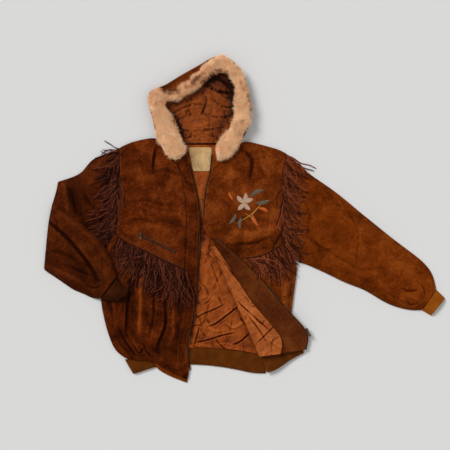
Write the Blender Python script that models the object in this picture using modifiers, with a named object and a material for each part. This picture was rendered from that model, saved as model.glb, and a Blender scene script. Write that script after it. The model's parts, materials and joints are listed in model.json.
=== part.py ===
# Hooded suede jacket with fur trim and fringe, laid out on its back on a flat surface.
# Metres, +Z up, the back panel rests on z = 0 and the neck points along +Y.

import math

import bmesh
import bpy
import numpy as np
from mathutils import Vector
from mathutils.bvhtree import BVHTree

for old in list(bpy.data.objects):
    bpy.data.objects.remove(old, do_unlink=True)

# Driving dimensions
MM = 0.001
SQUARE = 3.0 * MM  # side of one square of the grid that the outlines are plotted on
ORIGIN = (244.5, 218.5)  # the square over the part's origin, counted right and down
SUEDE = 2.0 * MM
SATIN = 1.1 * MM
RIB = 3.0 * MM
TAPE = 1.2 * MM
SEAM = 0.3 * MM  # gap between two pieces that are sewn together
EDGE_TOP = 4.3 * MM  # top of a front panel where it meets the back at a side seam
LOFT = 24.0 * MM  # how far the upper cloth stands above its edges in the middle
LOFT_REACH = 66.0 * MM  # distance from an outer edge at which the full loft is reached
ZIP_REACH = 54.0 * MM  # the same from the right front edge
TURNED_REACH = 150.0 * MM  # the same from the left front edge, which the turned part weighs down
ZIP_SHARE = 0.30  # share of the loft that is left at a front edge
LOWEST_TUBE = 6.8 * MM  # least outside height of a sleeve next to its folded edges
TUBE_CLAMP = 0.36  # a tube's wall is at most this share of its shortest grid edge there
TUBE_EDGE = 2.2 * MM  # height of the folded edge of a sleeve over its underside
BACK_INSET = 3.0 * MM  # how far the back's side edges lie inside those of the fronts
ROLL = 5.0 * MM  # inside radius where the left front is turned back
EDGE_RISE = 9.5 * MM  # cloth past the roll's start in the turned part's first row
FACING_WIDTH = 75.0 * MM
HOOD_WALL = 16.0 * MM  # height of the hood's rim
HOOD_BEND = 20.0 * MM  # width over which the hood's floor turns up into its rim
FUR_HEIGHT = 30.0 * MM
STRAND_WIDTH = 3.3 * MM
STRAND_THICKNESS = 1.5 * MM
BACKING = 5.0 * MM  # width of the strip that the fringe hangs from

# Outlines, as squares right and squares down. Each runs from the collar towards the hem.
ARMHOLE_RIGHT = ((119, 148), (120, 165), (121, 185), (120, 205), (118, 222), (116, 234))
SIDE_RIGHT = ((116, 234), (110, 243), (104, 251), (101, 275), (100, 299), (102, 310), (104.6, 324),
              (109.4, 339), (115, 352), (124, 358.5))
ZIP_RIGHT_TOP = ((186, 151), (189, 164), (192, 175), (196, 191), (198.4, 203), (199.6, 219),
                 (198, 247.5), (197.2, 274))
ZIP_RIGHT_LOW = ((197.2, 274), (196, 296), (194, 313), (191, 330), (186.5, 347), (188.6, 362),
                 (189.5, 373), (187.5, 380))
NECK_RIGHT = ((119, 148), (128, 143.6), (138, 140.5), (156, 138), (163, 146), (172, 151), (186, 151))
YOKE_LINE_RIGHT = ((116, 234), (125, 241), (139, 247.5), (150, 252.5), (160, 258), (169, 262),
                   (180, 267), (197.2, 274))
HEM_RIGHT = ((124, 358.5), (138, 361), (152, 362.3), (160, 367), (170, 371.5), (180, 376.5),
             (187.5, 380))

ARMHOLE_LEFT_TOP = ((287, 154), (283.5, 162), (281.5, 176), (280.6, 192), (280.6, 213))
ARMHOLE_LEFT_LOW = ((280.6, 213), (281.2, 226), (282.5, 243.5))
SIDE_LEFT = ((282.5, 243.5), (290, 254), (298, 262), (297, 273), (294.5, 291.5), (292, 310),
             (290.5, 328), (288, 347))
ZIP_LEFT_TOP = ((212.6, 154), (211, 171.5), (207.4, 184), (205, 200), (204.2, 217))
ROLL_LINE_TOP = ((204.2, 217), (207, 229), (212.6, 243), (222, 265))
ROLL_LINE_LOW = ((222, 265), (229, 281), (239, 304), (248.5, 325), (256, 342), (262, 356))
NECK_LEFT = ((212.6, 154), (226, 153), (236, 148), (243, 141), (262, 145), (280, 150), (287, 154))
APEX_LINE_LEFT = ((204.2, 217), (243, 216), (280.6, 213))
YOKE_LINE_LEFT = ((222, 265), (240, 259), (257, 256), (269, 252), (282.5, 243.5))
HEM_LEFT = ((262, 356), (275, 353), (288, 347))
TURNED_EDGE = ((204.2, 217), (206, 221), (210.6, 228), (218, 238), (228, 248), (237, 256),
               (250, 268), (263, 281), (277, 299), (291, 314.7), (303, 328.5), (308.2, 340),
               (305, 350))

# Layout of the cloth grids: rows above and below the yoke seam, columns across.
YOKE_ROWS = 9
BODY_ROWS = 11
FRONT_COLUMNS = 13
APEX_ROWS = 6
TURNED_YOKE_ROWS = 5
TURNED_ROWS = 9
LEFT_COLUMNS = 10
ROLL_COLUMNS = 4
TURNED_LINING_COLUMNS = 3
FACING_COLUMNS = 4

# The outer outline that the loft is measured from, from the left cuff round to the left cuff.
OUTLINE = (
    (437, 290), (434, 274), (406, 248), (372, 221), (345.5, 199), (311.5, 175), (287, 154),
    (280, 150), (243, 141), (156, 138), (138, 140.5), (119, 148), (108, 154), (100, 155), (90, 160),
    (81, 172.5), (68, 178), (57, 181.5), (51, 201), (48, 220), (45.6, 242), (43, 270), (75, 261),
    (104, 251), (101, 275), (100, 299), (104.6, 324), (115, 352), (124, 358.5), (152, 362.3),
    (159, 370), (187.5, 383), (190, 366), (225, 368), (254, 374), (275, 371), (288, 350), (292, 310),
    (297, 273), (298, 262), (304, 263), (328.5, 274.5), (348, 284), (365, 290), (379, 299),
    (391.5, 305.5), (411, 311), (422.5, 310.5),
)
FRONT_EDGES = (
    (186, 151), (192, 175), (198.4, 203), (199.6, 219), (197.2, 274), (194, 313), (186.5, 347),
    (189.5, 373),
)
LEFT_EDGES = ((212.6, 154), (207.4, 184), (204.2, 217), (222, 265), (239, 304), (262, 356))

# Large folds: two ends in squares, height and half width in millimetres.
FRONT_FOLDS = (
    (140, 280, 141, 330, 9, 13),
    (128, 284, 125, 334, -5, 11),
    (153, 290, 154, 340, -5, 13),
    (165, 300, 160, 345, 6, 14),
    (120, 330, 136, 356, 6, 10),
    (180, 300, 174, 350, 4, 14),
    (158, 150, 153, 172, -4, 10),
    (150, 196, 180, 204, 4, 16),
    (128, 214, 170, 236, 3, 16),
)
LEFT_FOLDS = (
    (240, 236, 275, 232, 3, 15),
    (258, 160, 250, 190, 3, 16),
    (284, 270, 282, 330, 4, 14),
)
SLEEVE_LEFT_FOLDS = (
    (347, 212, 358, 262, -6, 13),
    (304, 238, 360, 270, -6, 14),
    (360, 270, 401, 268, -4, 12),
    (330, 205, 390, 250, 4, 24),
    (400, 290, 420, 291, -7, 9),
    (405, 298, 416, 297, 5, 10),
    (424, 272, 412, 284, -4, 10),
)
SLEEVE_RIGHT_FOLDS = (
    (59, 184, 66, 212, 7, 9),
    (74, 190, 79, 214, -8, 14),
    (84, 176, 104, 186, 4, 18),
)
FOREARM_FOLDS = (
    (58, 216, 88, 243, 14, 24),
    (88, 243, 106, 268, 14, 24),
    (50, 246, 76, 262, -5, 18),
    (48, 268, 88, 288, 8, 15),
)
LINING_FOLDS = (
    (192, 312, 222, 306, 3, 8),
    (216, 325, 241, 307, 5, 9),
    (200, 328, 195, 344, 4, 7),
    (205, 343, 229, 337, 5, 8),
    (229, 337, 247, 330, 4, 8),
    (222, 260, 236, 300, 3, 10),
    (232, 346, 250, 341, 4, 7),
)

materials = {}
collection = bpy.data.collections.new("suede_jacket")
bpy.context.scene.collection.children.link(collection)


def add_material(name, colour, roughness, metallic=0.0):
    material = bpy.data.materials.new(name)
    material.use_nodes = True
    shader = material.node_tree.nodes["Principled BSDF"]
    shader.inputs["Base Color"].default_value = (*colour, 1.0)
    shader.inputs["Roughness"].default_value = roughness
    shader.inputs["Metallic"].default_value = metallic
    material.diffuse_color = (*colour, 1.0)
    materials[name] = material


add_material("suede", (0.130, 0.033, 0.006), 0.92)
add_material("suede_facing", (0.090, 0.023, 0.005), 0.92)
add_material("satin", (0.300, 0.070, 0.020), 0.45)
add_material("rib_knit", (0.086, 0.030, 0.006), 0.95)
add_material("fur", (0.640, 0.440, 0.270), 0.95)
add_material("fringe_suede", (0.070, 0.018, 0.011), 0.92)
add_material("zip_tape", (0.060, 0.028, 0.012), 0.85)
add_material("label_cloth", (0.480, 0.360, 0.190), 0.85)
add_material("zip_metal", (0.230, 0.210, 0.180), 0.40, 1.0)


# Outline helpers


def plot(rows):
    """Squares right and down, as metres about the origin."""
    table = np.array(rows, float)
    return np.stack([(table[:, 0] - ORIGIN[0]) * SQUARE, (ORIGIN[1] - table[:, 1]) * SQUARE], axis=1)


def smooth(points, steps=8):
    """A soft curve through the points, with the corners kept close."""
    padded = np.vstack([2 * points[0] - points[1], points, 2 * points[-1] - points[-2]])
    out = []
    for a, b, c, d in zip(padded[:-3], padded[1:-2], padded[2:-1], padded[3:]):
        for k in range(steps):
            t = k / steps
            bend = (2 * a - 5 * b + 4 * c - d) * t * t + (3 * b - a - 3 * c + d) * t ** 3
            out.append(b + 0.5 * ((c - a) * t + bend))
    out.append(points[-1])
    return np.array(out)


def along(rows, shares):
    """Points of an outline at the given shares of its length."""
    line = smooth(plot(rows))
    run = np.concatenate([[0.0], np.cumsum(np.linalg.norm(np.diff(line, axis=0), axis=1))])
    want = np.asarray(shares) * run[-1]
    return np.stack([np.interp(want, run, line[:, 0]), np.interp(want, run, line[:, 1])], axis=1)


def even(count):
    return np.linspace(0.0, 1.0, count + 1)


def rounded(count):
    """Shares that crowd towards both ends, where a sleeve turns over."""
    return 0.5 - 0.5 * np.cos(math.pi * even(count))


def patch(first, last, start, end, row_shares=None, column_shares=None):
    """A grid between four edges: rows run from first to last, columns from start to end."""
    v = (even(len(start) - 1) if row_shares is None else row_shares)[:, None, None]
    u = (even(len(first) - 1) if column_shares is None else column_shares)[None, :, None]
    corners = ((1 - v) * (1 - u) * first[0] + (1 - v) * u * first[-1]
               + v * (1 - u) * last[0] + v * u * last[-1])
    return ((1 - v) * first[None] + v * last[None]
            + (1 - u) * start[:, None] + u * end[:, None] - corners)


def distance(plan, line):
    """Distance of each plan point from a chain of segments."""
    a, b = line[:-1], line[1:]
    run = b - a
    rel = plan[..., None, :] - a
    t = np.clip((rel * run).sum(-1) / (run * run).sum(-1), 0, 1)
    return np.linalg.norm(rel - t[..., None] * run, axis=-1).min(-1)


def swell(share):
    """Rises fast from 0 and levels out at 1."""
    return 1 - (1 - np.clip(share, 0, 1)) ** 2.4


def folds(plan, table):
    """Height of the large folds over each plan point."""
    total = np.zeros(plan.shape[:-1])
    for x0, y0, x1, y1, height, width in table:
        away = distance(plan, plot(((x0, y0), (x1, y1))))
        total += height * MM * np.exp(-(away / (width * MM)) ** 2)
    return total


def body_height(plan, edges, table=(), reach=ZIP_REACH):
    """Top of the upper cloth: low at the outer edges and at the front edges, high between."""
    outer = distance(plan, plot(OUTLINE))
    share = swell(outer / LOFT_REACH)
    if len(edges):
        share = share * (ZIP_SHARE + (1 - ZIP_SHARE) * swell(distance(plan, plot(edges)) / reach))
    bumps = folds(plan, table) * np.clip(outer / (20 * MM), 0, 1)
    return np.maximum(EDGE_TOP + LOFT * share + bumps, EDGE_TOP)


def lift(plan, heights):
    return np.concatenate([plan, np.broadcast_to(heights, plan.shape[:-1])[..., None]], axis=-1)


# Solid helpers

trees = {}


def add_grid(bm, grid):
    """A grid of faces on the given points; returns each vertex with its row and column."""
    rows, columns = grid.shape[:2]
    made = bmesh.ops.create_grid(bm, x_segments=columns - 1, y_segments=rows - 1, size=1.0)
    placed = []
    for vert in made["verts"]:
        column = round((vert.co.x + 1) / 2 * (columns - 1))
        row = round((1 - vert.co.y) / 2 * (rows - 1))
        placed.append((vert, row, column))
    for vert, row, column in placed:
        vert.co = Vector(grid[row, column])
    return placed


def normals(grid):
    """Vertex normals of a grid, up when columns run right and rows run down the body."""
    bm = bmesh.new()
    placed = add_grid(bm, grid)
    bm.normal_update()
    found = np.zeros(grid.shape)
    for vert, row, column in placed:
        found[row, column] = vert.normal
    bm.free()
    return found


def finish(name, bm, material, thickness=0.0, inward=True, smooth_faces=True):
    """Turns a mesh into the named solid, with a wall of the given thickness."""
    bmesh.ops.remove_doubles(bm, verts=bm.verts, dist=0.00002)
    mesh = bpy.data.meshes.new(name)
    bm.to_mesh(mesh)
    bm.free()
    mesh.materials.append(materials[material])
    part = bpy.data.objects.new(name, mesh)
    collection.objects.link(part)
    if smooth_faces:
        mesh.polygons.foreach_set("use_smooth", [True] * len(mesh.polygons))
    if thickness:
        wall = part.modifiers.new("wall", "SOLIDIFY")
        wall.thickness = thickness
        wall.offset = -1.0 if inward else 1.0
    bpy.context.view_layer.update()
    trees[name] = BVHTree.FromObject(part, bpy.context.evaluated_depsgraph_get())
    return part


def cloth(name, grid, material, thickness, inward=True):
    bm = bmesh.new()
    add_grid(bm, grid)
    return finish(name, bm, material, thickness, inward)


def tube(name, plan, top, bottom, edge, material, thickness, closed_first=False, closed_last=False):
    """A flattened tube: rows run along it, columns from one folded edge over the top to the other."""
    rows, columns = plan.shape[:2]
    top = top.copy()
    bottom = bottom.copy()
    top[:, 0] = bottom[:, 0] = edge[:, 0]
    top[:, -1] = bottom[:, -1] = edge[:, -1]
    if closed_first:
        top[0] = bottom[0] = edge[0]
    if closed_last:
        top[-1] = bottom[-1] = edge[-1]
    ring = np.concatenate([lift(plan, top), lift(plan, bottom)[:, -2::-1]], axis=1)
    part = cloth(name, ring, material, thickness)
    part.modifiers["wall"].thickness_clamp = TUBE_CLAMP
    return part


def height_at(x, y, under):
    """Top of the named solids over one plan point, or the floor."""
    best = 0.0
    for name in under:
        hit = trees[name].ray_cast(Vector((x, y, 1.0)), Vector((0, 0, -1)))
        if hit[0] is not None:
            best = max(best, hit[0].z)
    return best


def cover(plan, under, reach):
    """Highest point of the named solids within reach of each plan point."""
    spots = [(0.0, 0.0)]
    for ring in (0.5, 1.0):
        for k in range(8):
            spots.append((ring * reach * math.cos(k * math.pi / 4), ring * reach * math.sin(k * math.pi / 4)))
    flat = plan.reshape(-1, 2)
    tops = [max(height_at(x + dx, y + dy, under) for dx, dy in spots) for x, y in flat]
    return np.array(tops).reshape(plan.shape[:-1])


def settle(level, least, passes):
    """Evens out the heights of a grid without letting them sink below the least ones."""
    for _ in range(passes):
        level = np.maximum(level, least)
        around = np.pad(level, 1, mode="edge")
        mean = (around[:-2, 1:-1] + around[2:, 1:-1] + around[1:-1, :-2] + around[1:-1, 2:]) / 4
        level = 0.4 * level + 0.6 * mean
    return np.maximum(level, least)


def laid(name, plan, under, gap, reach, material, thickness):
    """A flat piece laid on what is under it, facing up."""
    low = cover(plan, under, reach) + gap
    return cloth(name, lift(plan, low), material, thickness, inward=False)


# Back panel, flat on the surface
NECK_BACK = ((119, 148), (138, 140.5), (150, 141), (159, 142.6), (200, 143), (241, 142.6), (262, 145),
             (287, 154))
HEM_BACK = ((124, 357.5), (152, 355), (187, 349), (216, 349), (247, 353), (266, 358), (288, 349))
side_right = along(ARMHOLE_RIGHT[:-1] + SIDE_RIGHT[:-1] + ((123, 357.5),), even(14))
side_left = along(ARMHOLE_LEFT_TOP + ARMHOLE_LEFT_LOW[1:] + SIDE_LEFT[1:-1] + ((288, 349),), even(14))
side_right[1:-1, 0] += BACK_INSET
side_left[1:-1, 0] -= BACK_INSET
back_plan = patch(along(NECK_BACK, even(8)), along(HEM_BACK, even(8)), side_right, side_left)
cloth("back", lift(back_plan, SUEDE), "suede", SUEDE)

# Rib band of the back, under both fronts
BAND_TOP = ((126, 358.6), (152, 356.2), (187, 350.2), (216, 350.2), (247, 354.2), (266, 359.4))
BAND_LOW = ((133, 371), (155, 368), (190, 365), (225, 368), (254, 374), (266, 374))
band_plan = patch(along(BAND_TOP, even(12)), along(BAND_LOW, even(12)),
                  along((BAND_TOP[0], BAND_LOW[0]), even(2)), along((BAND_TOP[-1], BAND_LOW[-1]), even(2)))
cloth("waistband_back", lift(band_plan, RIB), "rib_knit", RIB)

# Lining of the back, seen between the fronts
lining_rows = np.concatenate([np.linspace(0, 0.72, 8)[:-1], np.linspace(0.72, 1.0, 9)])
lining_plan = patch(
    along(((172, 144.5), (200, 144.5), (230, 144.5)), even(13)),
    along(((160, 352), (187, 347.4), (216, 347.4), (247, 351), (262, 355)), even(13)),
    along(((172, 144.5), (168, 220), (162, 300), (160, 352)), lining_rows),
    along(((230, 144.5), (238, 220), (262, 300), (262, 355)), lining_rows),
    row_shares=lining_rows,
)
lining_bumps = folds(lining_plan, LINING_FOLDS)
lining_top = SUEDE + SEAM + SATIN + np.clip(lining_bumps, 0, None)
cloth("back_lining", lift(lining_plan, lining_top), "satin", SATIN)

LABEL = ((188, 147), (212, 147), (210, 171), (193, 171))
label_plan = patch(along(LABEL[:2], even(2)), along((LABEL[3], LABEL[2]), even(2)),
                   along((LABEL[0], LABEL[3]), even(2)), along((LABEL[1], LABEL[2]), even(2)))
laid("neck_label", label_plan, ["back_lining"], SEAM, 14 * MM, "label_cloth", 0.8 * MM)

# Hood: a dish of suede with its lining inside
HOOD_LEFT = ((149.5, 92), (148.5, 104), (152, 116), (155, 129), (159, 142.3))
HOOD_RIGHT = ((239.5, 69), (246, 81), (248.5, 98), (250.5, 112), (248, 128), (241, 142.3))
HOOD_TOP = ((149.5, 92), (158, 88), (167, 84.5), (176, 78.5), (189, 71), (202, 63.8), (212, 57.5),
            (224, 56), (233, 61), (239.5, 69))
HOOD_NECK = ((159, 142.3), (200, 142.7), (241, 142.3))
HOOD_OUTLINE = HOOD_LEFT[::-1] + HOOD_TOP[1:] + HOOD_RIGHT[1:]
hood_shares = rounded(12)
hood_plan = patch(along(HOOD_TOP, even(12)), along(HOOD_NECK, even(12)),
                  along(HOOD_LEFT, hood_shares), along(HOOD_RIGHT, hood_shares), hood_shares)
hood_rim = distance(hood_plan, smooth(plot(HOOD_OUTLINE)))
turn = np.clip(1 - hood_rim / HOOD_BEND, 0, 1)
above_neck = np.clip((hood_plan[..., 1] - hood_plan[-1, :, 1].min()) / (36 * MM), 0, 1)
hood_top = SUEDE + HOOD_WALL * (1 - np.sqrt(1 - (0.985 * turn) ** 2)) * above_neck
hood_grid = lift(hood_plan, hood_top)
cloth("hood_shell", hood_grid, "suede", SUEDE)
inner = hood_grid + normals(hood_grid) * SEAM
cloth("hood_lining", inner, "satin", SATIN, inward=False)

# Right front and its yoke
right_top = patch(along(NECK_RIGHT, even(FRONT_COLUMNS)), along(YOKE_LINE_RIGHT, even(FRONT_COLUMNS)),
                  along(ARMHOLE_RIGHT, even(YOKE_ROWS)), along(ZIP_RIGHT_TOP, even(YOKE_ROWS)))
right_low = patch(along(YOKE_LINE_RIGHT, even(FRONT_COLUMNS)), along(HEM_RIGHT, even(FRONT_COLUMNS)),
                  along(SIDE_RIGHT, even(BODY_ROWS)), along(ZIP_RIGHT_LOW, even(BODY_ROWS)))
right_plan = np.concatenate([right_top, right_low[1:]])
right_height = body_height(right_plan, FRONT_EDGES, FRONT_FOLDS)
UNDER_FRONTS = ["back", "waistband_back", "back_lining", "hood_shell", "hood_lining", "neck_label"]
right_height = np.maximum(right_height, cover(right_plan, UNDER_FRONTS, 14 * MM) + SEAM + SUEDE)
right_grid = lift(right_plan, right_height)
cloth("front_right", right_grid, "suede", SUEDE)
YOKE_RIGHT_COLUMNS = FRONT_COLUMNS - 2
yoke_right = right_grid[: YOKE_ROWS + 1, : YOKE_RIGHT_COLUMNS + 1]
out = normals(right_grid)[: YOKE_ROWS + 1, : YOKE_RIGHT_COLUMNS + 1]
cloth("yoke_right", yoke_right + out * SEAM, "suede", SUEDE, inward=False)

# Left front: the part that lies flat, then the part that is turned back over it
left_plan = np.concatenate([
    patch(along(NECK_LEFT, even(LEFT_COLUMNS)), along(APEX_LINE_LEFT, even(LEFT_COLUMNS)),
          along(ZIP_LEFT_TOP, even(APEX_ROWS)), along(ARMHOLE_LEFT_TOP, even(APEX_ROWS))),
    patch(along(APEX_LINE_LEFT, even(LEFT_COLUMNS)), along(YOKE_LINE_LEFT, even(LEFT_COLUMNS)),
          along(ROLL_LINE_TOP, even(TURNED_YOKE_ROWS)), along(ARMHOLE_LEFT_LOW, even(TURNED_YOKE_ROWS)))[1:],
    patch(along(YOKE_LINE_LEFT, even(LEFT_COLUMNS)), along(HEM_LEFT, even(LEFT_COLUMNS)),
          along(ROLL_LINE_LOW, even(TURNED_ROWS)), along(SIDE_LEFT, even(TURNED_ROWS)))[1:],
])
left_height = body_height(left_plan, LEFT_EDGES, LEFT_FOLDS, TURNED_REACH)
left_height = np.maximum(left_height, cover(left_plan, UNDER_FRONTS, 14 * MM) + SEAM + SUEDE)
left_height[APEX_ROWS:, 0] = np.maximum(left_height[APEX_ROWS:, 0], 9 * MM)
left_grid = lift(left_plan, left_height)
yoke_rows = APEX_ROWS + TURNED_YOKE_ROWS
yoke_left = left_grid[: yoke_rows + 1, 1:]
out = normals(left_grid)[: yoke_rows + 1, 1:]
cloth("yoke_left", yoke_left + out * SEAM, "suede", SUEDE, inward=False)
flat_part = cloth("front_left_flat", left_grid, "suede", SUEDE)

turned_count = TURNED_YOKE_ROWS + TURNED_ROWS
turned_columns = ROLL_COLUMNS + TURNED_LINING_COLUMNS + FACING_COLUMNS
free_edge = along(TURNED_EDGE, even(turned_count))
UNDER_TURNED = ["front_left_flat", "yoke_left"]
edge_rest = cover(free_edge, UNDER_TURNED, 9 * MM)
turned = np.zeros((turned_count + 1, turned_columns + 1, 3))
past_roll = np.zeros(turned.shape[:2], bool)
half_turn = math.pi * ROLL
for row in range(turned_count + 1):
    start = left_grid[APEX_ROWS + row, 0]
    flat_run = free_edge[row] - start[:2]
    width = np.linalg.norm(flat_run)
    across = flat_run / width if width > 1 * MM else np.array([0.94, -0.34])
    # Near the top the turned part is narrower than the roll, so its edge stands on the roll.
    length = min(half_turn + width, EDGE_RISE * row ** 1.8)
    facing = min(FACING_WIDTH, 0.6 * length)
    roll = min(half_turn, 0.5 * (length - facing))
    shares = np.concatenate([
        np.linspace(0, roll, ROLL_COLUMNS + 1),
        np.linspace(roll, length - facing, TURNED_LINING_COLUMNS + 1)[1:],
        np.linspace(length - facing, length, FACING_COLUMNS + 1)[1:],
    ])
    for column, run in enumerate(shares):
        past_roll[row, column] = run > half_turn + 1 * MM
        if run <= half_turn:
            angle = run / ROLL
            step = -ROLL * math.sin(angle)
            height = start[2] + ROLL * (1 - math.cos(angle))
        else:
            share = (run - half_turn) / max(length - half_turn, 1e-6)
            step = (run - half_turn) * width / max(width, length - half_turn)
            crown = 5 * MM * math.sin(math.pi * share)
            low = edge_rest[row] + 1.2 * MM
            height = (1 - share) * (start[2] + 2 * ROLL) + share * low + crown
        turned[row, column] = (*(start[:2] + across * step), height)
rest = cover(turned[..., :2], UNDER_TURNED, 17 * MM) + 1.0 * MM
turned[..., 2] = np.where(past_roll, settle(turned[..., 2], rest, 12), turned[..., 2])
bpy.data.objects.remove(flat_part, do_unlink=True)
bm = bmesh.new()
add_grid(bm, left_grid)
add_grid(bm, turned[:, ::-1])
finish("front_left", bm, "suede", SUEDE)

# What the turned part shows: its lining next to the roll and its facing next to the zip
inside = turned - normals(turned[:, ::-1])[:, ::-1] * (SUEDE + SEAM)
first_row = 3
lining_end = ROLL_COLUMNS + TURNED_LINING_COLUMNS
cloth("lining_left", inside[first_row:, 2: lining_end + 1][:, ::-1], "satin", SATIN)
facing_grid = inside[2:, lining_end:].copy()
toward = facing_grid[:, 1] - facing_grid[:, 0]
toward /= np.linalg.norm(toward, axis=-1, keepdims=True)
facing_grid[:, 0] += toward * 2 * SEAM
cloth("facing_left", facing_grid[:, ::-1], "suede_facing", 1.4 * MM)

# Sleeves, flattened tubes open at the armhole and the cuff
SLEEVE_COLUMNS = 8
CUFF_COLUMNS = 6
SLEEVE_WALL = 1.5 * MM
CUFF_WALL = 1.8 * MM
ARMHOLE_GAP = 1.7 * MM
SLEEVE_LEFT_TOP = ((287.3, 153.8), (311.5, 175), (328.5, 186), (345.5, 199), (358, 210), (372, 221),
                   (389, 235), (406, 248), (421, 259), (430, 267), (435, 276), (437, 289.5))
SLEEVE_LEFT_LOW = ((298.3, 262), (304, 263.5), (328.5, 274.5), (348, 284), (365, 290), (379, 299),
                   (391.5, 305.5), (401, 308.5), (411, 310.8), (422.5, 310.5))
SLEEVE_RIGHT_TOP = ((118.7, 147.8), (108, 153.5), (100, 155), (90, 160), (81, 172.5), (68, 178),
                    (57, 181.5))
SLEEVE_RIGHT_LOW = ((103.7, 251), (84, 258), (62, 266), (43, 270))
ELBOW = ((57, 181.5), (54.5, 194), (50.5, 203), (48, 220), (45.6, 242), (43, 270))
FOREARM_TOP = ((52, 203), (61.5, 211), (69, 214.6), (80.6, 223.5), (90, 230.5), (100, 239.5),
               (106.5, 249), (112.5, 260), (116, 269), (117.4, 275.5))
FOREARM_LOW = ((43, 270), (55, 278), (68, 287), (74, 291), (82, 293.5), (87, 296.2), (92, 299),
               (100, 298.8))
FOREARM_ELBOW = ((43, 270), (45.6, 242), (48, 220), (52, 203))
CUFF_RIGHT_TOP = ((118, 277), (121, 283), (125.2, 286.7), (130.6, 290.8))
CUFF_RIGHT_LOW = ((101, 299.6), (106, 299.8), (112, 301.8), (121.5, 301))
CUFF_LEFT_TOP = ((437.3, 289.8), (441.5, 294), (446, 298.3))
CUFF_LEFT_LOW = ((422.8, 310.8), (427, 313), (431.8, 316))


def sleeve_plan(first, last, start, end, rows, columns=SLEEVE_COLUMNS):
    """Plan points of a tube, with its columns crowded towards the folded edges."""
    shares = rounded(columns)
    return patch(along(first, shares), along(last, shares), along(start, even(rows)),
                 along(end, even(rows)), column_shares=shares)


def narrowing(rows, end_share, start=0.6):
    """A share per row that falls from 1 to the given share over the last part of a tube."""
    late = np.clip((even(rows) - start) / (1 - start), 0, 1)
    return (1 - (1 - end_share) * late ** 2)[:, None]


armhole_left = (ARMHOLE_LEFT_TOP + ARMHOLE_LEFT_LOW[1:] + SIDE_LEFT[1:3])[::-1]
left_rows = 13
plan = sleeve_plan(armhole_left, (SLEEVE_LEFT_LOW[-1], SLEEVE_LEFT_TOP[-1]),
                   SLEEVE_LEFT_LOW, SLEEVE_LEFT_TOP, left_rows)
plan[0, :, 0] += ARMHOLE_GAP
top = (body_height(plan, (), SLEEVE_LEFT_FOLDS) - EDGE_TOP) * narrowing(left_rows, 0.5) + EDGE_TOP
floor = np.zeros(plan.shape[:-1])
tube("sleeve_left", plan, np.maximum(top, LOWEST_TUBE), floor, floor + TUBE_EDGE, "suede", SLEEVE_WALL)

armhole_right = ARMHOLE_RIGHT + SIDE_RIGHT[1:3]
upper_rows = 8
plan = sleeve_plan(armhole_right, ELBOW, SLEEVE_RIGHT_TOP, SLEEVE_RIGHT_LOW, upper_rows)
plan[0, :, 0] -= ARMHOLE_GAP
top = body_height(plan, (), SLEEVE_RIGHT_FOLDS)
past = np.clip(distance(plan, plot(((40, 215), (68, 232), (95, 258), (112, 282)))) / (40 * MM), 0, 1)
below = plan[..., 1] < np.interp(plan[..., 0], plot(FOREARM_TOP)[:, 0], plot(FOREARM_TOP)[:, 1])
press = np.where(below, 0.30, 0.30 + 0.70 * past)
top = np.maximum(EDGE_TOP + (top - EDGE_TOP) * press, LOWEST_TUBE)
floor = np.zeros(plan.shape[:-1])
tube("sleeve_right_upper", plan, top, floor, floor + TUBE_EDGE, "suede", SLEEVE_WALL, closed_last=True)


# Fringe: strands in one piece with the strip that they hang from


def strand_rings(root, heading, curl, length, under, root_height):
    """Centres, headings and heights of a strand's rings after its root."""
    steps = 12
    angle = math.radians(heading)
    turn_step = math.radians(curl) / steps
    spots = [np.array(root)]
    angles = [angle]
    for _ in range(steps):
        spots.append(spots[-1] + length / steps * np.array([math.cos(angle), math.sin(angle)]))
        angles.append(angle)
        angle += turn_step
    need = [cover(np.array([spot]), under, 3 * MM)[0] + 0.5 * MM for spot in spots]
    rings = []
    last_index, last_height = 0, root_height
    for index in (4, 8, 12):
        height = need[index]
        for k in range(last_index + 1, index):
            share = (k - last_index) / (index - last_index)
            short = need[k] - (last_height + (height - last_height) * share)
            if short > 0:
                height += short / share
        rings.append((spots[index], angles[index], height))
        last_index, last_height = index, height
    return rings


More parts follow.
